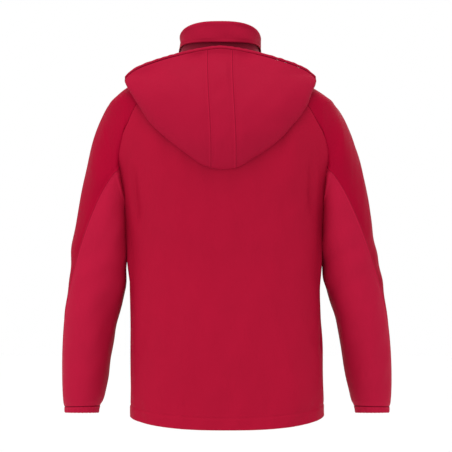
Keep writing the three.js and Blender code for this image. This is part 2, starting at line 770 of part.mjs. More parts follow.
// v of the panels' top edges: below the brim outside, and above the neck seam inside.
function hoodSpan(x) {
  const depth = brimHeight(x) - foldHeight(x);
  const seam = lerp(brimToNeck, brimBand, Math.abs(x) / hoodHalf);
  return [Math.asin(brimBand / depth) / Math.PI, 1 - Math.asin(seam / depth) / Math.PI];
}

function addHoodPanel({ name, side }) {
  const surface = (u, v, out) => {
    const x = lerp(gussetHalf, hoodHalf, u ** 0.9);
    return offHood(side * x, lerp(...hoodSpan(x), v), out);
  };
  const geometry = clothPanel(surface, 8, 18, -halfShell, halfShell);
  addMesh(`${name}_hood_panel`, geometry, hoodRed);
}

function addHoodGusset() {
  const surface = (u, v, out) => {
    const x = lerp(-gussetHalf, gussetHalf, u);
    return offHood(x, lerp(...hoodSpan(x), v), out);
  };
  addMesh('hood_gusset', clothPanel(surface, 2, 18, -halfShell, halfShell), hoodRed);
}

// The brim is a folded channel round its own cord.
function addBrim() {
  const brim = (x, drop, across) => {
    const point = hoodPoint(x, 0);
    return new THREE.Vector3(x, point.y + across, point.z - drop);
  };
  const surface = (u, v, out) => {
    const x = lerp(-hoodHalf, hoodHalf, u);
    const turn = Math.PI * (v * 1.5 - 0.25);
    const radius = brimChannel + out;
    return brim(x, brimChannel - radius * Math.sin(turn), radius * Math.cos(turn));
  };
  const geometry = clothPanel(surface, 24, 6, -liningCloth / 2, liningCloth / 2);
  addMesh('hood_brim', geometry, hoodRed);
  const line = [];
  const points = 22;
  for (let i = 0; i <= points; i += 1) {
    line.push(brim(lerp(-0.97, 0.97, i / points) * hoodHalf, brimChannel, 0));
  }
  addMesh('hood_brim_cord', sweep(roundOutline(cordRadius, 6), line, 24), cordBlack);
}

// In front of the shoulders the hood's lower corners stay sewn along the neck.
function addHoodFront({ name, side }) {
  const surface = (u, v, out) => {
    const angle = lerp(9, 99, u);
    const wide = 0.5 + 1.9 * Math.sin(Math.PI * (0.08 + 0.5 * u)) ** 1.2;
    const step = lerp(neckStep - wide, neckStep - 0.05, v);
    const lift = halfShell * 2 + layerGap + 1 + 7 * Math.sin(Math.PI * Math.min(v * 1.1, 1)) * (1 - 0.5 * u);
    return offBody(mirrored(angle, side), step, lift + out);
  };
  const geometry = clothPanel(surface, 12, 4, -halfShell, halfShell);
  addMesh(`${name}_hood_front`, geometry, hoodRed);
}

// ---- hang loop and blank neck label ----------------------------------------------------------------
// The loop's ends lie against the inner collar and its middle stands clear for a hook.
const loop = { halfSpan: 26, shoulder: 0.72, thickness: 1.2, width: 6, endDrop: 9, shoulderDrop: 3 };

function addHangLoop() {
  const collarFace = smoothValue(bodyRings, 'backY', neckStep) + innerCollarOut - innerCollarCloth;
  const endY = collarFace - loop.thickness / 2 - 3.5 * layerGap;
  const shoulderY = endY - 4 * layerGap;
  const [t, w] = [loop.thickness / 2, loop.width / 2];
  const strap = new THREE.Shape();
  strap.moveTo(-t, -w);
  strap.lineTo(t, -w);
  strap.lineTo(t, w);
  strap.lineTo(-t, w);
  const line = [
    new THREE.Vector3(-loop.halfSpan, endY, hangLoop.z - loop.endDrop),
    new THREE.Vector3(-loop.halfSpan * loop.shoulder, shoulderY, hangLoop.z - loop.shoulderDrop),
    new THREE.Vector3(0, hangLoop.y, hangLoop.z),
    new THREE.Vector3(loop.halfSpan * loop.shoulder, shoulderY, hangLoop.z - loop.shoulderDrop),
    new THREE.Vector3(loop.halfSpan, endY, hangLoop.z - loop.endDrop),
  ];
  addMesh('hang_loop', sweep(strap, line, 16), cordBlack);
}

const label = { halfAngle: 17, lowStep: neckStep - 1.9, highStep: neckStep - 0.5, thickness: 0.8 };

function addNeckLabel() {
  const surface = (u, v, distance) => {
    const angle = lerp(180 - label.halfAngle, 180 + label.halfAngle, u);
    return offBody(angle, lerp(label.lowStep, label.highStep, v), distance);
  };
  const out = -halfShell - layerGap;
  addMesh('neck_label', clothPanel(surface, 4, 3, out - label.thickness, out), cordBlack);
}

// ---- build everything --------------------------------------------------------------------------------
addBackPanel();
addCollar();
addChinGuard();
addHemFacing();
addHemCord();
addSlider();
addPull();
addZipEnds();
addStormFlap();
addHoodGusset();
addBrim();
addHangLoop();
addNeckLabel();
for (const sideOf of sides) {
  addFrontPanel(sideOf);
  addSidePanel(sideOf);
  addShoulderCap(sideOf);
  addZipHalf(sideOf);
  addCordLock(sideOf);
  addPocket(sideOf);
  addHoodPanel(sideOf);
  addHoodFront(sideOf);
  addCuff(sideOf);
  for (const part of sleeveParts) {
    addSleevePart(sideOf, part);
  }
}

export default group;
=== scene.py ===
import math

import bmesh
import bpy
import numpy as np
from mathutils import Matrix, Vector


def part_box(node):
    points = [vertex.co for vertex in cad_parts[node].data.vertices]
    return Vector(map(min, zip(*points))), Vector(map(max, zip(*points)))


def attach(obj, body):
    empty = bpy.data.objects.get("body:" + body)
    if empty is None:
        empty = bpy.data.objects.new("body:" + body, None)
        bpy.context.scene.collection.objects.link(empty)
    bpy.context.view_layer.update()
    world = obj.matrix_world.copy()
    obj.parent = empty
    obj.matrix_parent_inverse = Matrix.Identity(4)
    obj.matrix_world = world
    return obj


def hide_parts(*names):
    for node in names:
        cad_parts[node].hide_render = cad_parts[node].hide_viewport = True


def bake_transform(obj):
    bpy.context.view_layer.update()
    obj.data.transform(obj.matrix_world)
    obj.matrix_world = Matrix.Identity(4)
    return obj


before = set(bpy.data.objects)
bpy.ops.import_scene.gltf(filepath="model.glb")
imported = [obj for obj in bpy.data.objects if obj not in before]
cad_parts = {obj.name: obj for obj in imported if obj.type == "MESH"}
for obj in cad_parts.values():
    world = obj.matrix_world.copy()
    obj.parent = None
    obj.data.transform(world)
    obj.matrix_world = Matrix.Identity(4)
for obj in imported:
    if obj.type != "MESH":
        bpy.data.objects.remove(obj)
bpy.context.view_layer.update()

# A red hardshell jacket with a hood, seen from behind. Sizes are in the sewing
# pattern's millimetres, measured up from the lowest point of the hem; to_frame()
# moves them into the frame's metres. +X is the wearer's left and -Y the front.
MM = 0.001
HANG_LOOP = np.array([0.0, 56.0, 756.0])  # the frame's origin, in pattern millimetres

# ---- overall sizes, the same as the CAD model's ----
BACK_LENGTH = 752
BODY_WIDTH = 386
CHEST_DEPTH = 237
COLLAR_WIDTH = 160
COLLAR_HEIGHT = 66
FRONT_LEAN = math.radians(4)
OUT_OF_ZIP = np.array([0, -math.cos(FRONT_LEAN), math.sin(FRONT_LEAN)])
UP_THE_ZIP = np.array([0, math.sin(FRONT_LEAN), math.cos(FRONT_LEAN)])
SLEEVE_LENGTH = 616
HOOD_WIDTH = 382
HOOD_DROP = 248

HALF = BODY_WIDTH / 2
BACK_DEPTH = CHEST_DEPTH * 0.565
ZIP_OUT_AT_HEM = CHEST_DEPTH * 0.6
SQUARENESS = 2.6

CLOTH = 1.1  # thickness of the three-layer shell fabric
LINING = 0.8
FACE = 3.2  # side of one face of the cloth meshes

NECK = BACK_LENGTH
COLLAR_HALF = COLLAR_WIDTH / 2
# Each ring of the body: height at the back, side and front, half width, back's place.
HEM_RING = (0, 28, 38, HALF, 0.88 * BACK_DEPTH)
# Heights as shares of the neck's, what is added to the half width, and a share of the depth.
RING_SHARES = (
    (0.08, 0.1, 0.11, 0, 0.87),
    (0.225, 0.23, 0.235, -2, 0.84),
    (0.43, 0.43, 0.43, -3, 0.83),
    (0.585, 0.585, 0.58, 4, 0.92),
    (0.75, 0.745, 0.73, 27, 1),
    (0.825, 0.813, 0.785, 33, 0.96),
    (0.87, 0.85, 0.82, 36, 0.9),
    (0.903, 0.87, 0.845, 30, 0.83),
    (0.93, 0.887, 0.865, 13, 0.76),
    (0.954, 0.912, 0.883, -16, 0.68),
)
COLLAR_RINGS = (
    (0.978 * NECK, 0.952 * NECK, 0.9 * NECK, HALF * 0.69, 0.585 * BACK_DEPTH),
    (NECK, NECK - 7, NECK - 66, COLLAR_HALF + 7, 66),
    (NECK + COLLAR_HEIGHT / 2, NECK + 16, NECK - 30, COLLAR_HALF + 1, 64),
    (NECK + COLLAR_HEIGHT, NECK + 36, NECK + 6, COLLAR_HALF, 62),
)
MIDDLE_RINGS = [
    (back * NECK, side * NECK, front * NECK, HALF + wider, deep * BACK_DEPTH)
    for back, side, front, wider, deep in RING_SHARES
]
BODY_RINGS = np.array([HEM_RING, *MIDDLE_RINGS, *COLLAR_RINGS])
NOTCH_STEP = 5  # ring where the raglan seams meet the armhole
NECK_STEP = 12
TOP_STEP = 14
ARMHOLE_ABOVE = 2.6  # rings that the armhole reaches above and below the notch
ARMHOLE_BELOW = 1
NOTCH_SHARE = 0.745  # of the way from the hem to the neck, where the notch is
# The seams' angles at each ring, from 0 at the zip to 180 at the centre back.
BACK_SEAM = np.array([97, 97, 97, 97, 98, 113, 128, 137, 142, 145, 148, 150, 152.0])
FRONT_SEAM = np.array([68, 66, 64, 62, 60, 56, 50, 47, 45, 43, 41, 40, 39.0])
PANEL_TO_ZIP = 9.4  # from the centre front to a front panel's edge

# Each ring of the sleeve: the outer point's place beyond the shoulder and share of the
# length, the inner point's beyond the half width and its share, half depth, middle's Y.
SLEEVE_RINGS = np.array([
    (9, 0.02, 3.5, 0.335, 68, 8),
    (22, 0.062, 2.5, 0.35, 70, 5),
    (36, 0.125, 1.5, 0.375, 72, 1),
    (50, 0.21, 0, 0.405, 73, -3),
    (62, 0.31, -1, 0.44, 72, -7),
    (73, 0.415, -1, 0.475, 70, -11),
    (81, 0.5, -0.5, 0.5, 67, -14),
    (89, 0.585, 7, 0.585, 63, -19),
    (97, 0.69, 24, 0.69, 60, -27),
    (102, 0.8, 37, 0.8, 56, -39),
    (103, 0.9, 49, 0.9, 51, -52),
    (101, 0.965, 58, 0.962, 46, -61),
    (97, 0.985, 66, 0.982, 41, -64),
    (98, 1, 66, 1, 41, -66),
])
SPLIT_STEP = 6  # the upper arm's cloth ends here and the elbow's begins
CUFF_STEP = 12.54
SLEEVE_END = len(SLEEVE_RINGS)
# Turn of the back seam between the upper and the under sleeve, at each ring.
SLEEVE_SEAM = np.array([106, 102, 96, 88, 77, 64, 50, 39, 26, 10, 2, 0, 0, 0, 0.0])

BRIM_TOP = NECK + 16
WING_TOP = NECK - 46
HOOD_HALF = HOOD_WIDTH / 2
GUSSET_HALF = 25
HOOD_BELLY = 46
TIP_ROUNDING = 14
BRIM_BAND = 6
BRIM_TO_NECK = 20
HOOD_OFF_BACK = 5
HOOD_OFF_SHOULDERS = 22


# ---- small mathematics ----
def mix(low, high, share):
    return low + (high - low) * share


def smoothstep(low, high, value):
    share = np.clip((value - low) / (high - low), 0, 1)
    return share * share * (3 - 2 * share)


def bump(value, middle, width):
    return np.exp(-(((value - middle) / width) ** 2))


def unit(vectors):
    return vectors / np.maximum(np.linalg.norm(vectors, axis=-1, keepdims=True), 1e-9)


def signed_power(value, exponent):
    return np.sign(value) * np.abs(value) ** exponent


def catmull(before, here, after, beyond, share):
    """A smooth curve through four values, from the second to the third."""
    slope_here = (after - before) / 2
    slope_next = (beyond - here) / 2
    rise = after - here
    square = (3 * rise - 2 * slope_here - slope_next) * share**2
    cube = (slope_here + slope_next - 2 * rise) * share**3
    return here + slope_here * share + square + cube


def smooth_value(values, step):
    """A value carried smoothly through a list of rings."""
    last = len(values) - 1
    first = np.clip(np.floor(step), 0, last - 1).astype(int)
    knots = [values[np.clip(first + k, 0, last)] for k in (-1, 0, 1, 2)]
    return catmull(*knots, step - first)


WAVES_IN_RIPPLE = 7


def ripple(points, wavelength, seed):
    """Soft random waves between about -1 and 1 over an (..., n) array of points."""
    random = np.random.default_rng(seed)
    total = 0
    for _ in range(WAVES_IN_RIPPLE):
        direction = unit(random.normal(size=points.shape[-1]))
        number = 2 * math.pi / (wavelength * random.uniform(0.7, 1.5))
        total = total + np.sin(points @ direction * number + random.uniform(0, 2 * math.pi))
    return total / math.sqrt(WAVES_IN_RIPPLE)


# ---- the sewing surfaces ----
def front_y(height):
    return math.tan(FRONT_LEAN) * height - ZIP_OUT_AT_HEM


def body_point(angle, step):
    """angle is 0 at the zip, 90 at the wearer's left and 180 at the centre back."""
    back, side, front, half_width, back_y = (smooth_value(BODY_RINGS[:, k], step) for k in range(5))
    nearest = front_y(front)
    centre = (back_y + nearest) / 2
    depth = (back_y - nearest) / 2
    sine = np.sin(np.radians(angle))
    cosine = np.cos(np.radians(angle))
    middle = (back + front) / 2
    x = half_width * signed_power(sine, 2 / SQUARENESS)
    y = centre - depth * signed_power(cosine, 2 / SQUARENESS)
    z = middle - cosine * (back - front) / 2 + (side - middle) * sine**2
    return np.stack([x, y, z], axis=-1)


def off_surface(surface, a, b, tiny_a, tiny_b, distance):
    """A point that stands off surface(a, b) by a distance along its outward direction."""
    along_a = surface(a + tiny_a, b) - surface(a - tiny_a, b)
    along_b = surface(a, b + tiny_b) - surface(a, b - tiny_b)
    return surface(a, b) + unit(np.cross(along_a, along_b)) * np.asarray(distance)[..., None]


def off_body(angle, step, distance):
    return off_surface(body_point, angle, step, 0.5, 0.02, distance)


def angle_at_x(x, step):
    share = x / smooth_value(BODY_RINGS[:, 3], step)
    return np.degrees(np.arcsin(share ** (SQUARENESS / 2)))


def strip_angle(share, step):
    """Across the strip between the front and the back seam of one side."""
    return mix(smooth_value(FRONT_SEAM, step), smooth_value(BACK_SEAM, step), share)


def mirrored(angle, side):
    return angle if side > 0 else 360 - angle


def armhole_point(turn):
    share = 0.5 + 0.5 * np.sin(np.radians(turn))
    height = np.cos(np.radians(turn))
    step = NOTCH_STEP + np.where(height > 0, ARMHOLE_ABOVE, ARMHOLE_BELOW) * height
    return body_point(strip_angle(share, step), step)


def sleeve_knot(index, turn):
    shoulder = body_point(np.array(90.0), np.array(NOTCH_STEP + ARMHOLE_ABOVE))
    ring = SLEEVE_RINGS[np.clip(index, 1, SLEEVE_END) - 1]
    out_x, out_down, in_x, in_down, depth, mid_y = np.moveaxis(ring, -1, 0)
    share = 0.5 + 0.5 * np.cos(np.radians(turn))
    x = mix(HALF + in_x, shoulder[0] + out_x, share)
    y = mid_y + depth * np.sin(np.radians(turn))
    z = shoulder[2] - mix(in_down, out_down, share) * SLEEVE_LENGTH
    point = np.stack(np.broadcast_arrays(x, y, z), axis=-1)
    return np.where((index <= 0)[..., None], armhole_point(turn), point)


def sleeve_point(turn, step):
    """The left sleeve. turn is 0 outside the arm, 90 at the back and 180 inside."""
    first = np.clip(np.floor(step), 0, SLEEVE_END - 1).astype(int)
    knots = [sleeve_knot(np.clip(first + k, 0, SLEEVE_END), turn) for k in (-1, 0, 1, 2)]
    return catmull(*knots, (step - first)[..., None])


def off_sleeve(turn, step, side, distance):
    point = off_surface(sleeve_point, turn, step, 0.5, 0.02, distance)
    return point * [side, 1, 1]


def brim_height(x):
    out = np.abs(x) / HOOD_HALF
    return BRIM_TOP - (BRIM_TOP - WING_TOP) * (0.8 * out**1.5 + 0.2 * out**14)


def fold_height(x):
    """The hood's lower outline: a blunt round tip, then a slope up to the wings."""
    tip = BRIM_TOP - HOOD_DROP
    beyond = np.abs(x) - GUSSET_HALF
    out = (beyond + np.hypot(beyond, TIP_ROUNDING)) / 2 / (HOOD_HALF - GUSSET_HALF)
    return tip + (WING_TOP - 10 - tip) * (0.62 * out**1.05 + 0.38 * out**4)


def step_at_back(height):
    low = np.zeros_like(height)
    high = np.full_like(height, TOP_STEP)
    for _ in range(30):
        middle = (low + high) / 2
        below = smooth_value(BODY_RINGS[:, 0], middle) < height
        low = np.where(below, middle, low)
        high = np.where(below, high, middle)
    return low


def hood_rest_y(x, height):
    """The lying side of the hood clears the back and the shoulders."""
    step = step_at_back(height)
    behind = smooth_value(BODY_RINGS[:, 4], np.minimum(step, NECK_STEP)) + HOOD_OFF_BACK
    middle = (behind + front_y(smooth_value(BODY_RINGS[:, 2], step))) / 2
    wide = np.maximum(smooth_value(BODY_RINGS[:, 3], step), HOOD_HALF) + HOOD_OFF_SHOULDERS
    share = np.abs(x) / wide
    return middle + (behind - middle) * (1 - share**SQUARENESS) ** (1 / SQUARENESS)


def hood_point(x, v):
    """v runs from 0 at the brim over the fold at 0.5 to 1 at the neck."""
    fold = np.sin(np.pi * v)
    height = mix(brim_height(x), fold_height(x), fold)
    belly = HOOD_BELLY * (1 - 0.7 * (x / HOOD_HALF) ** 2)
    puff = belly * np.sqrt(np.maximum(0, 1 - fold)) * (0.42 + 0.9 * fold)
    y = hood_rest_y(x, height) + np.where(v > 0.5, 0, puff)
    return np.stack([x, y, height], axis=-1)


def off_hood(x, v, distance):
    return off_surface(hood_point, x, v, -0.5, 0.004, distance)


def hood_span(x):
    depth = brim_height(x) - fold_height(x)
    seam = mix(BRIM_TO_NECK, BRIM_BAND, np.abs(x) / HOOD_HALF)
    top = np.arcsin(BRIM_BAND / depth) / np.pi
    return top, 1 - np.arcsin(seam / depth) / np.pi


SWAY = 7  # gained over the back's height, and once more up to the neck
SWAY_BACK = (60, 500)
SWAY_NECK = (560, 740)
SWAY_DEPTH = (-120, -40)  # in Y; it fades to nothing at the front


def sway(points):
    """The jacket hangs a little to the wearer's left, most of all at the neck."""
    height = points[..., 2]
    lean = SWAY * smoothstep(*SWAY_BACK, height) + SWAY * smoothstep(*SWAY_NECK, height)
    return lean * smoothstep(*SWAY_DEPTH, points[..., 1])


def to_frame(points):
    moved = points.copy()
    moved[..., 0] += sway(points)
    return (moved - HANG_LOOP) * MM


# ---- cloth meshes ----
SIDE_EDGES = ("left", "right")
SEWN_ABOVE = (*SIDE_EDGES, "top")
SEWN_BELOW = (*SIDE_EDGES, "bottom")
ALL_EDGES = (*SIDE_EDGES, "top", "bottom")
BESIDE_SEAM = [0, 0.7, 1.5, 2.5, 4, 6, 8]
# A width here follows its row, which is far too long where rows dip round the armhole. The
# two side panels' own area is 0.25 of that, so the area worked out for them is raised to
# this share. What is declared for them is raised to this share. It isn't their size.
LEAST_AREA_SHARE = 0.31


def stops(length, near_low=True, near_high=True, face=FACE):
    """Shares from 0 to 1 along an edge, closer together beside a seam.

    Under 16 mm with both ends near, they run backwards in the middle. The zip tape's do,
    so it folds over itself and its declared width and area are about twice its own.
    """
    low = [d / length for d in BESIDE_SEAM] if near_low else [0]
    high = [1 - d / length for d in reversed(BESIDE_SEAM)] if near_high else [1]
    count = max(2, round((high[0] - low[-1]) * length / face))
    middle = np.linspace(low[-1], high[0], count + 1)[1:-1]
    return np.concatenate([low, middle, high])


def run_lengths(points, axis):
    """How far each point is along its row or column of the grid, and the whole length."""
    gaps = np.linalg.norm(np.diff(points, axis=axis), axis=-1)
    padding = [(0, 0), (0, 0)]
    padding[axis] = (1, 0)
    run = np.pad(np.cumsum(gaps, axis=axis), padding)
    whole = np.take(run, [-1], axis=axis)
    return run, np.broadcast_to(whole, run.shape)


class Grid:
    """A flat piece of cloth laid on a surface: its shares, lengths and edges."""

    def __init__(self, surface, across, along):
        self.u, self.v = np.meshgrid(across, along)
        self.base = surface(self.u, self.v, np.zeros_like(self.u))
        self.run_across, self.width = run_lengths(self.base, 1)
        self.run_along, self.length = run_lengths(self.base, 0)
        self.edges = {
            "left": self.run_across,
            "right": self.width - self.run_across,
            "bottom": self.run_along,
            "top": self.length - self.run_along,
        }

    def area(self):
        base = self.base
        diagonals = np.cross(base[1:, 1:] - base[:-1, :-1], base[1:, :-1] - base[:-1, 1:])
        return np.linalg.norm(diagonals, axis=-1).sum() / 2

    def nearest(self, names):
        far = np.full_like(self.u, 1000.0)
        return np.minimum.reduce([far] + [self.edges[name] for name in names])


def seam_relief(gap):
    """A sewn edge sinks into its seam, beside a soft ridge of folded allowance."""
    return -0.9 * np.exp(-((gap / 1.3) ** 2)) + 0.5 * bump(gap, 5, 3.2)


def flat_relief(grid):
    return np.zeros_like(grid.u)


def layer_faces(rows, columns, first):
    index = np.arange(rows * columns).reshape(rows, columns) + first
    corners = [index[:-1, :-1], index[:-1, 1:], index[1:, 1:], index[1:, :-1]]
    return np.stack(corners, axis=-1).reshape(-1, 4)


def rim_lines(rows, columns):
    index = np.arange(rows * columns).reshape(rows, columns)
    return {"bottom": index[0], "top": index[-1], "left": index[:, 0], "right": index[:, -1]}


def rim_faces(rows, columns):
    second = rows * columns
    faces = []
    for line in rim_lines(rows, columns).values():
        corners = [line[:-1], line[1:], line[1:] + second, line[:-1] + second]
        faces.append(np.stack(corners, axis=-1))
    return np.concatenate(faces)


def continue_shading(obj, rows, columns, names):
    """At an edge that lies on another piece's, the cloth shades as if it went on."""
    ends = np.zeros(len(obj.data.edges) * 2, dtype=np.int32)
    obj.data.edges.foreach_get("vertices", ends)
    ends = ends.reshape(-1, 2)
    sharp = np.zeros(len(ends), dtype=bool)
    lines = rim_lines(rows, columns)
    for name in names:
        for layer in (0, rows * columns):
            on_line = np.isin(ends, lines[name] + layer)
            sharp |= on_line.all(axis=1)
    obj.data.attributes.new("sharp_edge", "BOOLEAN", "EDGE").data.foreach_set("value", sharp)


def mesh_object(name, points, faces, material):
    mesh = bpy.data.meshes.new(name)
    mesh.from_pydata(np.asarray(points).tolist(), [], [list(map(int, face)) for face in faces])
    work = bmesh.new()
    work.from_mesh(mesh)
    bmesh.ops.recalc_face_normals(work, faces=work.faces)
    work.to_mesh(mesh)
    work.free()
    mesh.polygons.foreach_set("use_smooth", [True] * len(mesh.polygons))
    mesh.materials.append(material)
    obj = bpy.data.objects.new(name, mesh)
    bpy.context.scene.collection.objects.link(obj)
    return obj


def add_point_value(obj, name, values):
    layer = obj.data.attributes.new(name, "FLOAT", "POINT")
    layer.data.foreach_set("value", np.ascontiguousarray(values, dtype=np.float32).ravel())


def add_cloth_uv(obj, flat):
    loops = np.zeros(len(obj.data.loops), dtype=np.int32)
    obj.data.loops.foreach_get("vertex_index", loops)
    layer = obj.data.uv_layers.new(name="cloth")
    layer.data.foreach_set("uv", flat[loops].astype(np.float32).ravel())


def cloth_sheet(name, surface, across, along, material, seams=(), relief=flat_relief,
                thickness=CLOTH, joined=()):
    """A panel of cloth with its thickness, seams and folds, and its size and area."""
    grid = Grid(surface, across, along)
    gap = grid.nearest(seams)
    rise = relief(grid) + seam_relief(gap)
    layers = [surface(grid.u, grid.v, rise + side * thickness / 2) for side in (1, -1)]
    rows, columns = grid.u.shape
    faces = np.concatenate([
        layer_faces(rows, columns, 0),
        layer_faces(rows, columns, rows * columns),
        rim_faces(rows, columns),
    ])
    points = to_frame(np.concatenate([layer.reshape(-1, 3) for layer in layers]))
    obj = mesh_object(name, points, faces, material)
    continue_shading(obj, rows, columns, joined)
    beside = np.minimum(grid.edges["left"], grid.edges["right"])
    ends = np.minimum(grid.edges["bottom"], grid.edges["top"])
    run = np.where(beside < ends, grid.run_along, grid.run_across)
    add_point_value(obj, "seam_gap", np.tile(gap.ravel() * MM, 2))
    add_point_value(obj, "seam_run", np.tile(run.ravel() * MM, 2))
    flat = np.stack([grid.run_across - grid.width / 2, grid.run_along], axis=-1).reshape(-1, 2)
    add_cloth_uv(obj, np.tile(flat * MM, (2, 1)))
    size = (float(grid.width.max() * MM), float(grid.length.max() * MM))
    least = LEAST_AREA_SHARE * size[0] * size[1]
    area = float(np.clip(grid.area() * MM * MM, least, size[0] * size[1]))
    return obj, size, area


# ---- materials ----
class Shader:
    """A principled material with a few nodes joined to it."""

    def __init__(self, name, roughness, **sockets):
        self.material = bpy.data.materials.new(name)
        self.material.use_nodes = True
        self.tree = self.material.node_tree
        self.surface = self.tree.nodes["Principled BSDF"]
        self.surface.inputs["Roughness"].default_value = roughness
        for label, value in sockets.items():
            self.surface.inputs[label.replace("_", " ")].default_value = value

    def node(self, kind, settings=None, **inputs):
        node = self.tree.nodes.new(kind)
        for key, value in (settings or {}).items():
            setattr(node, key, value)
        for label, value in inputs.items():
            socket = node.inputs[int(label[1:])] if label[1:].isdigit() else node.inputs[label]
            if isinstance(value, bpy.types.NodeSocket):
                self.tree.links.new(value, socket)
            else:
                socket.default_value = value
        return node

    def math(self, operation, first, second=0.0):
        return self.node("ShaderNodeMath", {"operation": operation}, _0=first, _1=second).outputs[0]

    def fade(self, value, low, high):
        """1 below low and 0 above high."""
        settings = {"interpolation_type": "SMOOTHSTEP"}
        inputs = {"Value": value, "From Min": low, "From Max": high, "To Min": 1.0, "To Max": 0.0}
        return self.node("ShaderNodeMapRange", settings, **inputs).outputs[0]

    def blend_colour(self, share, first, second):
        node = self.node("ShaderNodeMix", {"data_type": "RGBA"}, _0=share, _6=first, _7=second)
        return node.outputs[2]

    def noise(self, vector, scale, detail=2.0):
        return self.node("ShaderNodeTexNoise", Vector=vector, Scale=scale, Detail=detail).outputs[0]

    def place(self, kind="Object"):
        return self.node("ShaderNodeTexCoord").outputs[kind]

    def colour(self, output):
        self.tree.links.new(output, self.surface.inputs["Base Color"])

    def roughness(self, output):
        self.tree.links.new(output, self.surface.inputs["Roughness"])

    def bump(self, height, distance, strength=1.0):
        node = self.node("ShaderNodeBump", Height=height, Distance=distance, Strength=strength)
        self.tree.links.new(node.outputs[0], self.surface.inputs["Normal"])


def rgba(red, green, blue):
    """A colour given as on a screen, 0 to 255, as the linear light that a shader wants."""
    linear = []
    for level in (red / 255, green / 255, blue / 255):
        linear.append(level / 12.92 if level < 11 / 255 else ((level + 0.055) / 1.055) ** 2.4)
    return (*linear, 1.0)


def shade(colour, amount):
    return (*(c * amount for c in colour[:3]), 1.0)


WEAVE = 0.0007  # metres from one yarn to the next
WAVE_PERIOD = math.pi / 10  # length of one band of a wave texture at scale 1
STITCH = 0.0032
STITCH_GAP = 0.0021  # from the seam to its row of stitches


def weave_height(shader, vector, pitch):
    bands = []
    for direction in ("X", "Y"):
        settings = {"wave_type": "BANDS", "bands_direction": direction}
        wave = shader.node("ShaderNodeTexWave", settings, Vector=vector, Scale=WAVE_PERIOD / pitch)
        bands.append(wave.outputs[1])
    return shader.math("MAXIMUM", *bands)


def stitch_mask(shader, gap, run):
    beside = shader.math("ABSOLUTE", shader.math("SUBTRACT", gap, STITCH_GAP))
    row = shader.fade(beside, 0.00025, 0.0005)
    phase = shader.math("FRACT", shader.math("DIVIDE", run, STITCH))
    dash = shader.fade(shader.math("ABSOLUTE", shader.math("SUBTRACT", phase, 0.5)), 0.32, 0.4)
    return shader.math("MULTIPLY", row, dash)


def fabric(name, colour, roughness=0.62, pitch=WEAVE, sheen=0.0):
    """Woven cloth: yarns, soft mottling, painted shade in the seam grooves and rows of stitches."""
    inputs = {"Sheen Weight": sheen, "Sheen Roughness": 0.45, "Specular IOR Level": 0.03}
    shader = Shader(name, roughness, **inputs)
    shader.surface.inputs["Sheen Tint"].default_value = (1.0, 0.35, 0.42, 1.0)
    cloth = shader.place("UV")
    place = shader.place()
    gap = shader.node("ShaderNodeAttribute", {"attribute_name": "seam_gap"}).outputs["Fac"]
    run = shader.node("ShaderNodeAttribute", {"attribute_name": "seam_run"}).outputs["Fac"]
    mottle = shader.noise(place, 14.0, 4.0)
    broad = shader.blend_colour(mottle, shade(colour, 0.93), shade(colour, 1.07))
    weave = weave_height(shader, cloth, pitch)
    yarn = shader.blend_colour(shader.math("MULTIPLY", weave, 0.2), broad, shade(colour, 0.7))
    # Painted shade: the colour darkens close to the seam, in the groove where shade falls.
    painted_groove_shade = shader.fade(gap, 0.0002, 0.0014)
    seam_shaded = shader.blend_colour(shader.math("MULTIPLY", painted_groove_shade, 0.45), yarn, shade(colour, 0.45))
    stitches = stitch_mask(shader, gap, run)
    shader.colour(shader.blend_colour(stitches, seam_shaded, shade(colour, 1.35)))
    grain = shader.noise(place, 900.0, 2.0)
    yarns = shader.math("MULTIPLY", weave, -0.5)
    height = shader.math("ADD", yarns, shader.math("MULTIPLY", grain, 0.35))
    raised = shader.math("ADD", height, shader.math("MULTIPLY", stitches, 2.0))
    shader.bump(raised, 0.00012, 0.7)
    rough = shader.math("ADD", shader.math("MULTIPLY", mottle, 0.12), roughness - 0.06)
    shader.roughness(rough)
    return shader.material


def mesh_lining(name, colour):
    """A knitted mesh with small round holes, painted in its colour as dark dots of shade."""
    shader = Shader(name, 0.85, Sheen_Weight=0.2)
    cloth = shader.place("UV")
    cells = shader.node("ShaderNodeTexVoronoi", {"feature": "F1"}, Vector=cloth, Scale=420.0)
    hole = shader.fade(cells.outputs[0], 0.18, 0.4)
    # Painted shade: each hole is a dark dot in the colour and is not cut through the cloth.
    shader.colour(shader.blend_colour(hole, colour, shade(colour, 0.25)))
    shader.bump(hole, -0.0003)
    return shader.material


def braid(name, colour):
    """A braided cord or a woven strap."""
    shader = Shader(name, 0.75, Sheen_Weight=0.3)
    place = shader.place()
    tilt = shader.node("ShaderNodeMapping", Vector=place, Rotation=(0.6, 0.7, 0.8)).outputs[0]
    strands = weave_height(shader, tilt, 0.0011)
    shader.colour(shader.blend_colour(strands, shade(colour, 0.6), shade(colour, 2.2)))
    shader.bump(strands, 0.0003)
    return shader.material


def moulded(name, colour):
    """Moulded plastic with a fine spark-eroded grain and scuffed spots."""
    roughness = 0.42
    shader = Shader(name, roughness, Coat_Weight=0.1)
    place = shader.place()
    scuff = shader.noise(place, 160.0, 5.0)
    shader.colour(shader.blend_colour(scuff, shade(colour, 0.75), shade(colour, 1.5)))
    shader.bump(shader.noise(place, 2600.0, 2.0), 0.00008)
    rough = shader.math("ADD", shader.math("MULTIPLY", scuff, 0.3), roughness - 0.15)
    shader.roughness(rough)
    return shader.material


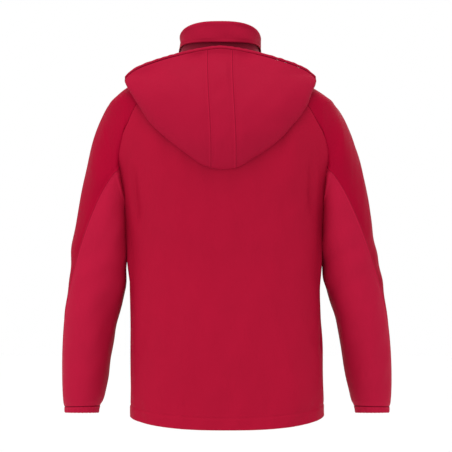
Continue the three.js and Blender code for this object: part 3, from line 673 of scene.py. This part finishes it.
def cast_metal(name, colour):
    """Lacquered die-cast zinc, brushed one way, worn brighter in spots."""
    shader = Shader(name, 0.34, Metallic=0.95)
    place = shader.place()
    stretch = shader.node("ShaderNodeMapping", Vector=place, Scale=(1.0, 1.0, 0.08)).outputs[0]
    brushed = shader.noise(stretch, 2400.0, 3.0)
    worn = shader.fade(shader.noise(place, 420.0, 4.0), 0.35, 0.6)
    shader.colour(shader.blend_colour(worn, colour, shade(colour, 1.9)))
    shader.bump(brushed, 0.00006)
    rough = shader.math("ADD", shader.math("MULTIPLY", brushed, 0.25), 0.22)
    shader.roughness(rough)
    return shader.material


def coated_tape(name, colour):
    """Zip tape under a thin smooth film that beads water."""
    shader = Shader(name, 0.34, Coat_Weight=0.25, Coat_Roughness=0.3)
    cloth = shader.place("UV")
    place = shader.place()
    weave = weave_height(shader, cloth, 0.0006)
    mottle = shader.noise(place, 60.0, 3.0)
    shader.colour(shader.blend_colour(mottle, shade(colour, 0.8), shade(colour, 1.2)))
    shader.bump(weave, 0.00005)
    return shader.material


# The shell's red is one fabric. The copy for the upper sleeves is darker, which is painted shade. The
# copy for the under sleeves and cuffs is lighter, which is painted light.
SHELL = fabric("shell_cloth", rgba(157, 15, 45))
SHADED_SLEEVE = fabric("upper_sleeve_shaded_cloth", rgba(150, 3, 39))
LIT_UNDER_SLEEVE = fabric("under_sleeve_lit_cloth", rgba(165, 20, 52))
HOOD = fabric("hood_cloth", rgba(152, 16, 46))
LINING_CLOTH = fabric("lining_cloth", rgba(112, 20, 38), 0.8, 0.001, 0.3)
POCKET_MESH = mesh_lining("pocket_mesh", rgba(112, 20, 38))
TAPE = coated_tape("zip_tape_film", rgba(136, 22, 46))
CHAIN = moulded("zip_teeth_plastic", rgba(120, 18, 40))
METAL = cast_metal("zip_metal", rgba(98, 100, 106))
BLACK_CORD = braid("braided_cord", rgba(34, 32, 36))
BLACK_PLASTIC = moulded("cord_lock_plastic", rgba(36, 36, 40))
LABEL = fabric("label_cloth", rgba(40, 38, 42), 0.7, 0.0008)


# ---- folds that the cloth hangs in ----
def segment_crease(grid, start, end, width, depth):
    """A straight valley, or a ridge where depth is negative, that fades at both ends."""
    x, z = grid.base[..., 0], grid.base[..., 2]
    line = np.subtract(end, start)
    length = np.hypot(*line)
    along = ((x - start[0]) * line[0] + (z - start[1]) * line[1]) / length
    aside = ((x - start[0]) * line[1] - (z - start[1]) * line[0]) / length
    ends = smoothstep(-0.25 * length, 0.25 * length, along)
    ends = ends * (1 - smoothstep(0.75 * length, 1.25 * length, along))
    return -depth * bump(aside, 0, width) * ends


HEM_STITCHES = 24  # up from the hem's edge
HEM_CORD = 12
HEM_END = 60


def hem_relief(grid):
    """The hem's folded tunnel stands proud and puckers over its cord."""
    gap = grid.edges["bottom"]
    proud = 1 - smoothstep(HEM_STITCHES - 2, HEM_STITCHES + 1, gap)
    tunnel = 0.9 * proud - 0.8 * bump(gap, HEM_STITCHES, 2)
    pucker = ripple(grid.base[..., :1], 46, 11) * bump(gap, HEM_CORD, 16) * (gap < HEM_END)
    return tunnel + 1.1 * pucker


# The folds of the back: start and end (x, height), width and depth in millimetres.
BACK_FOLDS = (
    ((182, 520), (176, 424), 8, 6.5),
    ((-178, 535), (-176, 440), 8, 5.5),
    ((158, 222), (176, 150), 12, 3.0),
    ((-164, 226), (-186, 160), 12, 3.0),
    ((-102, 220), (-146, 60), 15, -3.2),
    ((-66, 215), (-92, 55), 20, 3.4),
    ((-6, 122), (-8, 20), 9, 2.4),
    ((60, 300), (96, 96), 26, -2.4),
    ((84, 60), (82, 8), 8, 2.4),
    ((-82, 56), (-80, 8), 8, 2.0),
    ((150, 640), (120, 470), 22, -2.6),
    ((-150, 640), (-124, 470), 22, -2.6),
    ((176, 60), (168, 16), 7, 2.2),
    ((-176, 60), (-168, 16), 7, 2.2),
)


ROLL_STARTS = (270, 340)  # heights
ROLL_ENDS = (540, 590)
ROLL_RISE = 5.5
ROLL_WIDTH = 24


def rolled_side(grid, edges):
    """Below the armhole the back rolls out over the sleeve, along its side seam."""
    height = grid.base[..., 2]
    rows = smoothstep(*ROLL_STARTS, height) * (1 - smoothstep(*ROLL_ENDS, height))
    return ROLL_RISE * rows * (1 - smoothstep(0, ROLL_WIDTH, grid.nearest(edges)))


def back_relief(grid):
    place = grid.base[..., [0, 2]] * [1, 0.45]
    waves = 1.5 * ripple(place, 90, 3) + 0.5 * ripple(place, 34, 4)
    calm = smoothstep(0, 40, grid.nearest(SIDE_EDGES))
    folds = sum(segment_crease(grid, *fold) for fold in BACK_FOLDS)
    return waves * calm + folds + hem_relief(grid) + rolled_side(grid, SIDE_EDGES)


def soft_relief(seed):
    """Soft waves away from the side seams, above the hem's tunnel."""
    def relief(grid):
        calm = smoothstep(0, 30, grid.nearest(SIDE_EDGES))
        return 1.2 * ripple(grid.base * [1, 1, 0.5], 80, seed) * calm + hem_relief(grid)
    return relief


def plain_waves(seed, amount):
    def relief(grid):
        calm = smoothstep(0, 15, grid.nearest(SIDE_EDGES))
        return amount * ripple(grid.base, 60, seed) * calm
    return relief


ELBOW_HEIGHT = 330


def sleeve_relief(seed, sewn):
    """Slanting drag lines down the arm, deeper at the elbow, and calm beside the seams."""
    def relief(grid):
        place = grid.base * [1.0, 0.8, 0.55]
        waves = 1.6 * ripple(place, 74, seed) + 0.5 * ripple(place, 28, seed + 40)
        elbow = bump(grid.base[..., 2], ELBOW_HEIGHT, 60)
        drag = 1.3 * np.sin(grid.base[..., 2] / 11 + grid.base[..., 0] / 20) * elbow
        return (waves + drag) * smoothstep(0, 22, grid.nearest(sewn))
    return relief


FAIRING_PASSES = 14


def fair(points, weight):
    """Smooths a grid of points down its columns where weight is above zero."""
    points = points.copy()
    for _ in range(FAIRING_PASSES):
        middle = (points[:-2] + points[2:]) / 2
        points[1:-1] = mix(points[1:-1], middle, 0.5 * weight[1:-1, :, None])
    return points


# ---- putting a piece in the model ----
def join_model(obj, replaces=(), body=None, bend=None):
    """bend is (body, body, start, end) for cloth that crosses a joint; such cloth is only baked in
    place and joined to no body.
    """
    if replaces:
        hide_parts(*replaces)
    if bend:
        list(bend)
        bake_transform(obj)
    else:
        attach(obj, body)


def add_cloth(name, surface, across, along, material, slot, replaces=(), body="torso", bend=None,
              held="hung", **details):
    obj, size, area = cloth_sheet(name, surface, across, along, material, **details)
    join_model(obj, replaces, body, bend)


def body_step(v):
    """From the hem to the notch and on to the neck, at an even pace in height."""
    return np.interp(v, [0, NOTCH_SHARE, 1], [0, NOTCH_STEP, NECK_STEP])


def add_back():
    def surface(u, v, out):
        step = body_step(v)
        edge = smooth_value(BACK_SEAM, step)
        return off_body(mix(edge, 360 - edge, u), step, out)
    across = stops(BODY_WIDTH)
    along = stops(NECK, near_low=False)
    add_cloth("back_cloth", surface, across, along, SHELL, "shell_fabric", ("back_panel",),
              seams=SEWN_ABOVE, relief=back_relief)


def add_front(name, side):
    def surface(u, v, out):
        step = body_step(v)
        start = angle_at_x(PANEL_TO_ZIP, step)
        angle = mix(start, smooth_value(FRONT_SEAM, step), u)
        return off_body(mirrored(angle, side), step, out)
    along = stops(NECK, near_low=False)
    add_cloth(f"{name}_front_cloth", surface, stops(150), along, SHELL, "shell_fabric",
              (f"{name}_front_panel",), seams=SEWN_ABOVE, relief=soft_relief(20 + side))


def add_side(name, side):
    def surface(u, v, out):
        share = 0.5 - 0.5 * np.cos(np.pi * u)
        step = v * (NOTCH_STEP - ARMHOLE_BELOW * np.sin(np.pi * u))
        return off_body(mirrored(strip_angle(share, step), side), step, out)

    def relief(grid):
        return soft_relief(30 + side)(grid) + rolled_side(grid, ("right",))
    add_cloth(f"{name}_side_cloth", surface, stops(120), stops(500, near_low=False), SHELL,
              "shell_fabric", (f"{name}_side_panel",), seams=SEWN_ABOVE, relief=relief)


# ---- sleeves ----
CAP_SHARE = 0.34  # of the upper sleeve's length that lies on the shoulder
FAIRED_ROWS = 0.13  # how far from the armhole the two are smoothed into each other
# Where the cloth crosses from the body to the left arm and from the arm to the forearm, in the frame's
# metres. They only fill the bend tuples.
ARMPIT = (0.2005, 0.0, -0.3166)
ARM_DIRECTION = (0.95, 0.0, -0.31)
SHOULDER_BLEND = 0.024
ELBOW_BLEND = ((0, 0, -0.4), (0, 0, -0.46))


def front_turn(step):
    return -90 - 2.2 * step


def seam_turn(step):
    """The seam starts at the notch, runs down the armhole and then slants across the arm."""
    at_notch = SLEEVE_SEAM[0] - 90
    return smooth_value(SLEEVE_SEAM, step) - at_notch * (1 - smoothstep(0, 0.5, step))


def upper_sleeve_surface(side):
    """From the neck over the shoulder and on round the outside of the arm, in one piece."""
    def surface(u, v, out):
        share = 0.5 - 0.5 * np.cos(np.pi * u)
        armhole = NOTCH_STEP + ARMHOLE_ABOVE * np.sin(np.pi * u)
        cap_step = mix(NECK_STEP, armhole, np.clip(v / CAP_SHARE, 0, 1))
        cap = off_body(mirrored(strip_angle(share, cap_step), side), cap_step, out)
        step = SPLIT_STEP * np.clip((v - CAP_SHARE) / (1 - CAP_SHARE), 0, 1)
        turn = mix(front_turn(step), seam_turn(step), u)
        tube = off_sleeve(turn, step, side, out)
        points = np.where((v <= CAP_SHARE)[..., None], cap, tube)
        weight = 1 - smoothstep(0.3 * FAIRED_ROWS, FAIRED_ROWS, np.abs(v - CAP_SHARE))
        inside = smoothstep(0, 0.1, u) * (1 - smoothstep(0.9, 1, u))
        return fair(points, weight * inside)
    return surface


def under_sleeve_surface(side, low, high):
    def surface(u, v, out):
        step = mix(low, high, v)
        turn = mix(seam_turn(step), front_turn(step) + 360, u)
        return off_sleeve(turn, step, side, out)
    return surface


def forearm_surface(side):
    def surface(u, v, out):
        step = mix(SPLIT_STEP, CUFF_STEP, v)
        turn = mix(front_turn(step), seam_turn(step), u)
        return off_sleeve(turn, step, side, out)
    return surface


def shoulder_bend(name, side):
    """The body, the arm and a short stretch beyond the armpit where the cloth would go over from one
    to the other; nothing bends the cloth by it.
    """
    armpit = np.array(ARMPIT) * [side, 1, 1]
    direction = np.array(ARM_DIRECTION) * [side, 1, 1]
    return "torso", f"{name}_arm", armpit, armpit + SHOULDER_BLEND * direction


def elbow_bend(name):
    return f"{name}_arm", f"{name}_lower_arm", *ELBOW_BLEND


def add_sleeve(name, side):
    shoulder, elbow = shoulder_bend(name, side), elbow_bend(name)
    upper = upper_sleeve_surface(side)
    under = under_sleeve_surface(side, 0, SPLIT_STEP)
    forearm = forearm_surface(side)
    under_forearm = under_sleeve_surface(side, SPLIT_STEP, CUFF_STEP)
    # Piece, surface, width, length, material, seed of its folds and CAD nodes.
    top_pieces = (
        ("upper_sleeve", upper, 190, 430, SHADED_SLEEVE, 50, ("sleeve_cap", "sleeve_upper_panel")),
        ("under_sleeve", under, 190, 200, LIT_UNDER_SLEEVE, 51, ("sleeve_under_panel",)),
    )
    low_pieces = (
        ("upper_forearm", forearm, 150, 340, SHADED_SLEEVE, 50, ("forearm_upper_panel",)),
        ("under_forearm", under_forearm, 170, 340, LIT_UNDER_SLEEVE, 51, ("forearm_under_panel",)),
    )
    for pieces, bend, sewn in ((top_pieces, shoulder, SEWN_BELOW), (low_pieces, elbow, SEWN_ABOVE)):
        open_edge = "top" if sewn is SEWN_BELOW else "bottom"
        for piece, surface, width, length, material, seed, nodes in pieces:
            along = stops(length, near_low=open_edge == "top", near_high=open_edge == "bottom")
            add_cloth(f"{name}_{piece}_cloth", surface, stops(width), along, material,
                      "sleeve_fabric", tuple(f"{name}_{node}" for node in nodes), bend=bend,
                      seams=sewn, relief=sleeve_relief(seed, sewn), joined=(open_edge,))


CUFF_LENGTH = 14
CUFF_HOLLOW = 2.6  # half the space between the cuff's two layers


def cuff_surface(side):
    """A tunnel folded over its elastic: v runs from the outer edge round to the inner one."""
    def surface(u, v, out):
        turn = np.pi * (v - 0.5)
        down = CUFF_LENGTH * (np.cos(turn) - 1)
        gather = 0.7 * np.sin(u * 2 * np.pi * 26) + 0.5 * np.sin(u * 2 * np.pi * 41 + 1)
        spread = -CUFF_HOLLOW * np.sin(turn) - out * np.sin(turn) + gather * np.cos(turn)
        dip = down + out * np.cos(turn)
        return off_sleeve(360 * u, SLEEVE_END + dip / 10, side, spread)
    return surface


def add_cuff(name, side):
    add_cloth(f"{name}_cuff_cloth", cuff_surface(side), np.linspace(0, 1, 161), np.linspace(0, 1, 17),
              LIT_UNDER_SLEEVE, "shell_fabric", (f"{name}_cuff_band",), f"{name}_lower_arm",
              held="gathered", seams=("top", "bottom"), joined=SIDE_EDGES)


# ---- collar and linings ----
COLLAR_RISE = 0.72  # the outer collar's lower edge climbs this part of a ring at the back
INNER_COLLAR = -2.9
# The rings between which each piece lies, and how far it is inside the shell.
HEM_FACING_RINGS = (0.02, 0.36)
POCKET_BAG_RINGS = (1.3, 3)
POCKET_BAG_INSIDE = 2.8
CHIN_GUARD_RINGS = (TOP_STEP - 0.85, TOP_STEP - 0.12)
CHIN_GUARD_INSIDE = 6.4
STORM_FLAP_RINGS = (0.42, NECK_STEP - 0.4)
STORM_FLAP_INSIDE = 5
STORM_FLAP_SIDES = (-14, 30)  # to the wearer's right and left of the zip


def collar_surface(low, high, rest=0.0):
    def surface(u, v, out):
        edge = angle_at_x(PANEL_TO_ZIP, TOP_STEP)
        angle = mix(edge, 360 - edge, u)
        start = NECK_STEP + low * (0.5 - 0.5 * np.cos(np.radians(angle))) ** 0.8
        return off_body(angle, mix(start, high, v), rest + out)
    return surface


def collar_relief(grid):
    """Piping along the lower edge, a turned top edge and a few soft dents."""
    piping = 1.1 * bump(grid.edges["bottom"], 1.6, 1.5)
    top = 0.5 * bump(grid.edges["top"], 1.5, 2.5)
    sag = 1.3 * ripple(grid.base, 44, 61) * smoothstep(0, 10, grid.nearest(("bottom", "top")))
    return piping + top + sag


def strip_surface(from_x, to_x, low, high, depth):
    """A strip beside the zip, measured across the front from the centre."""
    def surface(u, v, out):
        step = mix(low, high, v)
        x = mix(from_x, to_x, u)
        angle = np.where(x < 0, 360 - angle_at_x(np.abs(x), step), angle_at_x(np.abs(x), step))
        shift = (out - depth)[..., None] * OUT_OF_ZIP
        return body_point(angle, step) + shift
    return surface


def hem_facing_surface(u, v, out):
    step = mix(*HEM_FACING_RINGS, v)
    edge = angle_at_x(PANEL_TO_ZIP + 4, step)
    depth = mix(2.1, 6.5, np.sin(np.pi * v) ** 0.4)
    return off_body(mix(edge, 360 - edge, u), step, out - depth)


def pocket_bag_surface(side):
    def surface(u, v, out):
        step = mix(*POCKET_BAG_RINGS, v)
        inner = mix(15, 24, smoothstep(1.4, 2.4, step))
        angle = mix(inner, mix(46, 38, v), u)
        return off_body(mirrored(angle, side), step, out - POCKET_BAG_INSIDE)
    return surface


def chin_guard_surface(u, v, out):
    start = angle_at_x(PANEL_TO_ZIP + 5, TOP_STEP)
    return off_body(mix(start, 34, u), mix(*CHIN_GUARD_RINGS, v), out - CHIN_GUARD_INSIDE)


def add_collar_and_linings():
    outer = collar_surface(COLLAR_RISE, TOP_STEP)
    add_cloth("outer_collar_cloth", outer, stops(430), stops(COLLAR_HEIGHT, near_low=False), HOOD,
              "shell_fabric", ("outer_collar",), seams=("top",), relief=collar_relief)
    inner = collar_surface(0.04, TOP_STEP - 0.02, INNER_COLLAR)
    add_cloth("inner_collar_cloth", inner, stops(400), stops(60), LINING_CLOTH, "lining_fabric",
              ("inner_collar",), seams=("top", "bottom"), relief=plain_waves(62, 0.4), thickness=1.6)
    add_cloth("chin_guard_cloth", chin_guard_surface, stops(40), stops(45), LINING_CLOTH,
              "lining_fabric", ("chin_guard",), seams=ALL_EDGES)
    add_cloth("hem_facing_cloth", hem_facing_surface, stops(1000, face=4), stops(30),
              LINING_CLOTH, "lining_fabric", ("hem_facing",), seams=("top", "bottom"),
              thickness=LINING)
    flap = strip_surface(*STORM_FLAP_SIDES, *STORM_FLAP_RINGS, STORM_FLAP_INSIDE)
    add_cloth("storm_flap_cloth", flap, stops(44), stops(600, face=5), LINING_CLOTH,
              "lining_fabric", ("storm_flap",), seams=SIDE_EDGES, thickness=LINING)


# ---- zips ----
TOOTH_PITCH = 1.5
TOOTH_CORNERS = np.array([(-1.5, -0.42), (1.5, -0.42), (1.5, 0.42), (-1.5, 0.42)])
TOOTH_SECTIONS = ((0.5, 0.55), (0.9, 1.0), (2.9, 1.0), (3.5, 0.6))  # place in X and size
ZIP_BOTTOM = 0.28
ZIP_TOP = TOP_STEP - 0.1


def loft(outlines):
    """Points and faces of a closed solid through outlines of equal count."""
    rings, corners = len(outlines), len(outlines[0])
    index = np.arange(rings * corners).reshape(rings, corners)
    after = np.roll(index, -1, axis=1)
    sides = np.stack([index[:-1], after[:-1], after[1:], index[1:]], axis=-1).reshape(-1, 4)
    return np.concatenate(outlines), [*sides, index[0][::-1], index[-1]]


def tooth_outlines(centre, side):
    """One moulded tooth: a rounded bar that reaches across the chain."""
    shape = TOOTH_CORNERS
    outlines = []
    for x, size in TOOTH_SECTIONS:
        ring = centre + shape[:, :1] * size * OUT_OF_ZIP + shape[:, 1:] * size * UP_THE_ZIP
        ring[:, 0] = side * x
        outlines.append(ring)
    return outlines


def add_teeth(name, side):
    bottom = body_point(np.array(0.0), np.array(ZIP_BOTTOM))
    top = body_point(np.array(0.0), np.array(ZIP_TOP))
    length = np.linalg.norm(top - bottom)
    points, faces = [], []
    offset = 0.5 if side > 0 else 0.0
    count = int(length / TOOTH_PITCH) - 1
    for tooth in range(count):
        centre = bottom + (top - bottom) * (tooth + 0.5 + offset) * TOOTH_PITCH / length
        solid, solid_faces = loft(tooth_outlines(centre, side))
        faces += [[corner + 16 * tooth for corner in face] for face in solid_faces]
        points.append(solid)
    obj = mesh_object(f"{name}_zip_teeth", to_frame(np.concatenate(points)), faces, CHAIN)
    join_model(obj, (f"{name}_zip_chain",), "torso")


def add_front_zip(name, side):
    tape = strip_surface(side * 0.5, side * 10.4, 0.02, TOP_STEP - 0.02, depth=1)
    add_cloth(f"{name}_zip_tape_film", tape, stops(10, face=1.2), stops(740, False, False, 5), TAPE,
              "zip_tape", (f"{name}_zip_tape",), held="stretched", thickness=LINING,
              relief=lambda grid: 0.2 * bump(grid.edges["left"], 2, 2))
    add_teeth(name, side)


def outline_between(low, high, z):
    """A rounded rectangle in X and Y at one height, in metres."""
    centre = (np.array(low) + np.array(high)) / 2
    half = (np.array(high) - np.array(low)) / 2
    turn = np.linspace(0, 2 * np.pi, 20, endpoint=False)
    x = centre[0] + half[0] * signed_power(np.cos(turn), 0.5)
    y = centre[1] + half[1] * signed_power(np.sin(turn), 0.5)
    return np.stack([x, y, np.full_like(x, z)], axis=-1)


def tilted(points, pivot, angle):
    """Turns points about the X axis through a pivot."""
    moved = points - pivot
    y = moved[:, 1] * math.cos(angle) - moved[:, 2] * math.sin(angle)
    z = moved[:, 1] * math.sin(angle) + moved[:, 2] * math.cos(angle)
    return np.stack([moved[:, 0], y, z], axis=-1) + pivot


PULL_HALF_LENGTH = 0.0165
PULL_HALF_SIZE = (0.0035, 0.0008)  # across and through, in metres
# Along the pull from -1 to 1, and how wide it is there.
PULL_STATIONS = (
    (-1, 0.7), (-0.93, 1), (-0.5, 1.0), (-0.2, 0.72), (0.3, 0.66), (0.7, 0.8), (0.94, 0.8), (1, 0.5),
)


def add_pull():
    """A waisted metal tab, thicker at its grip, that stands for the pull's plain bar."""
    low, high = (np.array(corner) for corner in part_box("zip_pull"))
    centre = (low + high) / 2
    across, through = PULL_HALF_SIZE
    outlines = []
    for place, wide in PULL_STATIONS:
        size = np.array([across, through * (1.15 - 0.25 * wide), 0]) * [wide, 1, 1]
        ring = outline_between(centre - size, centre + size, centre[2] + place * PULL_HALF_LENGTH)
        outlines.append(tilted(ring, centre, -FRONT_LEAN))
    points, faces = loft(outlines)
    obj = mesh_object("shaped_zip_pull", points, faces, METAL)
    join_model(obj, ("zip_pull",), "front_pull")


# ---- hood ----
def hood_relief(seed):
    def relief(grid):
        calm = smoothstep(0, 18, grid.nearest(SIDE_EDGES))
        waves = 2.0 * ripple(grid.base * [1, 1, 0.7], 95, seed) + 0.5 * ripple(grid.base, 36, seed + 9)
        return waves * calm * smoothstep(0, 14, grid.edges["bottom"])
    return relief


def hood_surface(side, outer, inner_x, outer_x):
    """The outer or the under half of one panel, from its top edge to the fold."""
    def surface(u, v, out):
        x = side * mix(inner_x, outer_x, u)
        top, neck = hood_span(x)
        place = mix(top, 0.5, v) if outer else mix(0.5, neck, v)
        return off_hood(x, place, out)
    return surface


HOOD_BEND = ("torso", "hood", (0, 0, -0.01), (0, 0, -0.06))


def add_hood_pieces(name, node, side, reach, across, lengths, sewn, relief):
    """A hood piece's outer half, and its half under the fold, which reaches the neck; neither is bent.
    """
    along = stops(lengths[0], near_high=False)
    add_cloth(f"{name}_cloth", hood_surface(side, True, *reach), across, along, HOOD,
              "shell_fabric", (node,), "hood", seams=sewn, relief=relief, joined=("top",))
    along = stops(lengths[1], near_low=False)
    add_cloth(f"{name}_under_cloth", hood_surface(side, False, *reach), across, along, HOOD,
              "shell_fabric", (node,), bend=HOOD_BEND, seams=(*sewn, "top"), joined=("bottom",))


def add_hood_half(name, side):
    across = stops(HOOD_HALF - GUSSET_HALF, near_high=False) ** 1.05
    add_hood_pieces(f"{name}_hood", f"{name}_hood_panel", side, (GUSSET_HALF, HOOD_HALF), across,
                    (250, 230), ("left",), hood_relief(70 + side))


def add_gusset():
    reach = (-GUSSET_HALF, GUSSET_HALF)
    across = stops(2 * GUSSET_HALF)
    add_hood_pieces("hood_gusset", "hood_gusset", 1, reach, across, (270, 240), SIDE_EDGES,
                    hood_relief(75))


CORD_RADIUS = 1.4
BRIM_CHANNEL = CORD_RADIUS + 1.7
BRIM_SET_BACK = 1.8  # so that the channel lies flush with the hood's outer face


def brim_surface(u, v, out):
    """The folded channel round the hood's cord, open below."""
    x = mix(-HOOD_HALF, HOOD_HALF, u)
    turn = np.pi * (v * 1.5 - 0.25)
    radius = BRIM_CHANNEL + out + 0.35 * ripple(x[..., None], 16, 81)
    top = hood_point(x, np.zeros_like(x))
    drop = BRIM_CHANNEL - radius * np.sin(turn)
    return top + np.stack([0 * x, radius * np.cos(turn) - BRIM_SET_BACK, -drop], axis=-1)


def around(point, radius):
    """A ring of points in the plane across the hood's width."""
    turn = np.linspace(0, 2 * np.pi, 10, endpoint=False)
    return point + radius * np.stack([0 * turn, np.cos(turn), np.sin(turn)], axis=-1)


def add_brim():
    add_cloth("hood_brim_cloth", brim_surface, np.linspace(0, 1, 150), np.linspace(0, 1, 15), HOOD,
              "shell_fabric", ("hood_brim",), "hood", held="gathered")
    x = np.linspace(-0.97, 0.97, 90) * HOOD_HALF
    line = hood_point(x, np.zeros_like(x)) - [0, BRIM_SET_BACK, BRIM_CHANNEL]
    outlines = [around(point, CORD_RADIUS) for point in line]
    points, faces = loft(outlines)
    cord = mesh_object("hood_brim_braid", to_frame(points), faces, BLACK_CORD)
    join_model(cord, ("hood_brim_cord",), "hood")


HOOD_FRONT_ANGLES = (9, 122)
HOOD_FRONT_OFF = 2.2
HOOD_FRONT_BELLY = 9


def add_hood_front(name, side):
    """The hood's lower corners, sewn along the neck in front of the shoulders."""
    def surface(u, v, out):
        wide = 0.5 + 1.8 * np.sin(np.pi * (0.08 + 0.44 * u)) ** 1.2
        step = mix(NECK_STEP - wide, NECK_STEP - 0.05, v)
        belly = HOOD_FRONT_BELLY * np.sin(np.pi * np.minimum(0.12 + v, 1)) * (1 - 0.6 * u)
        angle = mirrored(mix(*HOOD_FRONT_ANGLES, u), side)
        return off_body(angle, step, HOOD_FRONT_OFF + belly + out)
    bend = ("torso", "hood", (0, -0.06, 0), (0, 0.01, 0))
    add_cloth(f"{name}_hood_front_cloth", surface, stops(230), stops(60), HOOD, "shell_fabric",
              (f"{name}_hood_front",), bend=bend, seams=("left", "top"), relief=plain_waves(83, 1.2))


# ---- the rest of the CAD parts, with their finishes ----
def finish_node(name, material):
    obj = bpy.data.objects[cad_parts[name].name]
    for slot in obj.material_slots:
        slot.link = "OBJECT"
        slot.material = material


KEPT_NODES = {
    METAL: ("zip_slider", "zip_retainer_box"),
    BLACK_CORD: ("hem_drawcord", "hang_loop"),
    LABEL: ("neck_label",),
}
KEPT_PAIRS = {
    METAL: ("pocket_slider",),
    BLACK_CORD: ("cuff_elastic",),
    BLACK_PLASTIC: ("cord_lock", "cord_lock_plunger"),
    TAPE: ("pocket_zip",),
}


# ---- camera, light and floor ----
FRAME_WIDTH = 0.904
LOOK_AT = Vector((0.002, 0.0, -0.348))
LENS = 900
SENSOR = 36


def add_camera():
    camera = bpy.data.objects.new("camera", bpy.data.cameras.new("camera"))
    bpy.context.scene.collection.objects.link(camera)
    camera.data.lens = LENS
    camera.data.sensor_width = SENSOR
    distance = FRAME_WIDTH * LENS / SENSOR
    camera.location = LOOK_AT + Vector((0, distance, 0))
    camera.rotation_euler = (math.pi / 2, 0, math.pi)
    bpy.context.scene.camera = camera


def add_softbox(name, place, size, power):
    light = bpy.data.lights.new(name, "AREA")
    light.shape = "RECTANGLE"
    light.size = size[0]
    light.size_y = size[1]
    light.energy = power
    obj = bpy.data.objects.new(name, light)
    bpy.context.scene.collection.objects.link(obj)
    obj.location = place
    obj.rotation_euler = (LOOK_AT - Vector(place)).to_track_quat("-Z", "Y").to_euler()


# Name, place, size and power of each light.
SOFTBOXES = (
    ("top_light", (0.1, 0.9, 2.0), (1.6, 1.2), 34),
    ("left_light", (2.2, 1.4, 0.2), (1.2, 2.0), 12),
    ("front_light", (-1.2, -2.2, 1.0), (2.0, 2.0), 18),
)
FLOOR_HEIGHT = -0.95
FLOOR_HALF = 30


def add_studio():
    world = bpy.data.worlds.new("studio")
    bpy.context.scene.world = world
    world.use_nodes = True
    background = world.node_tree.nodes["Background"]
    background.inputs["Color"].default_value = (1, 1, 1, 1)
    background.inputs["Strength"].default_value = 1.0
    for softbox in SOFTBOXES:
        add_softbox(*softbox)
    signs = ((-1, -1), (1, -1), (1, 1), (-1, 1))
    corners = [(x * FLOOR_HALF, y * FLOOR_HALF, FLOOR_HEIGHT) for x, y in signs]
    floor = mesh_object("floor", corners, [(0, 1, 2, 3)], floor_material())


def floor_material():
    shader = Shader("pale_floor", 0.9, Emission_Strength=0.12)
    shader.surface.inputs["Emission Color"].default_value = (1, 1, 1, 1)
    place = shader.place()
    grain = shader.noise(place, 3.0)
    shader.colour(shader.blend_colour(grain, (0.86, 0.86, 0.86, 1), (0.9, 0.9, 0.9, 1)))
    return shader.material


# ---- build everything ----
bpy.context.scene.view_settings.view_transform = "Standard"
add_camera()
add_studio()
add_back()
add_collar_and_linings()
add_gusset()
add_brim()
add_pull()
for name, side in (("left", 1), ("right", -1)):
    add_front(name, side)
    add_side(name, side)
    add_sleeve(name, side)
    add_cuff(name, side)
    add_front_zip(name, side)
    add_hood_half(name, side)
    add_hood_front(name, side)
    bag = pocket_bag_surface(side)
    add_cloth(f"{name}_pocket_bag_mesh", bag, stops(90, face=5), stops(190, face=5), POCKET_MESH,
              "lining_fabric", (f"{name}_pocket_bag",), seams=ALL_EDGES,
              thickness=1.6)
    for material, kinds in KEPT_PAIRS.items():
        for kind in kinds:
            finish_node(f"{name}_{kind}", material)
for material, names in KEPT_NODES.items():
    for name in names:
        finish_node(name, material)
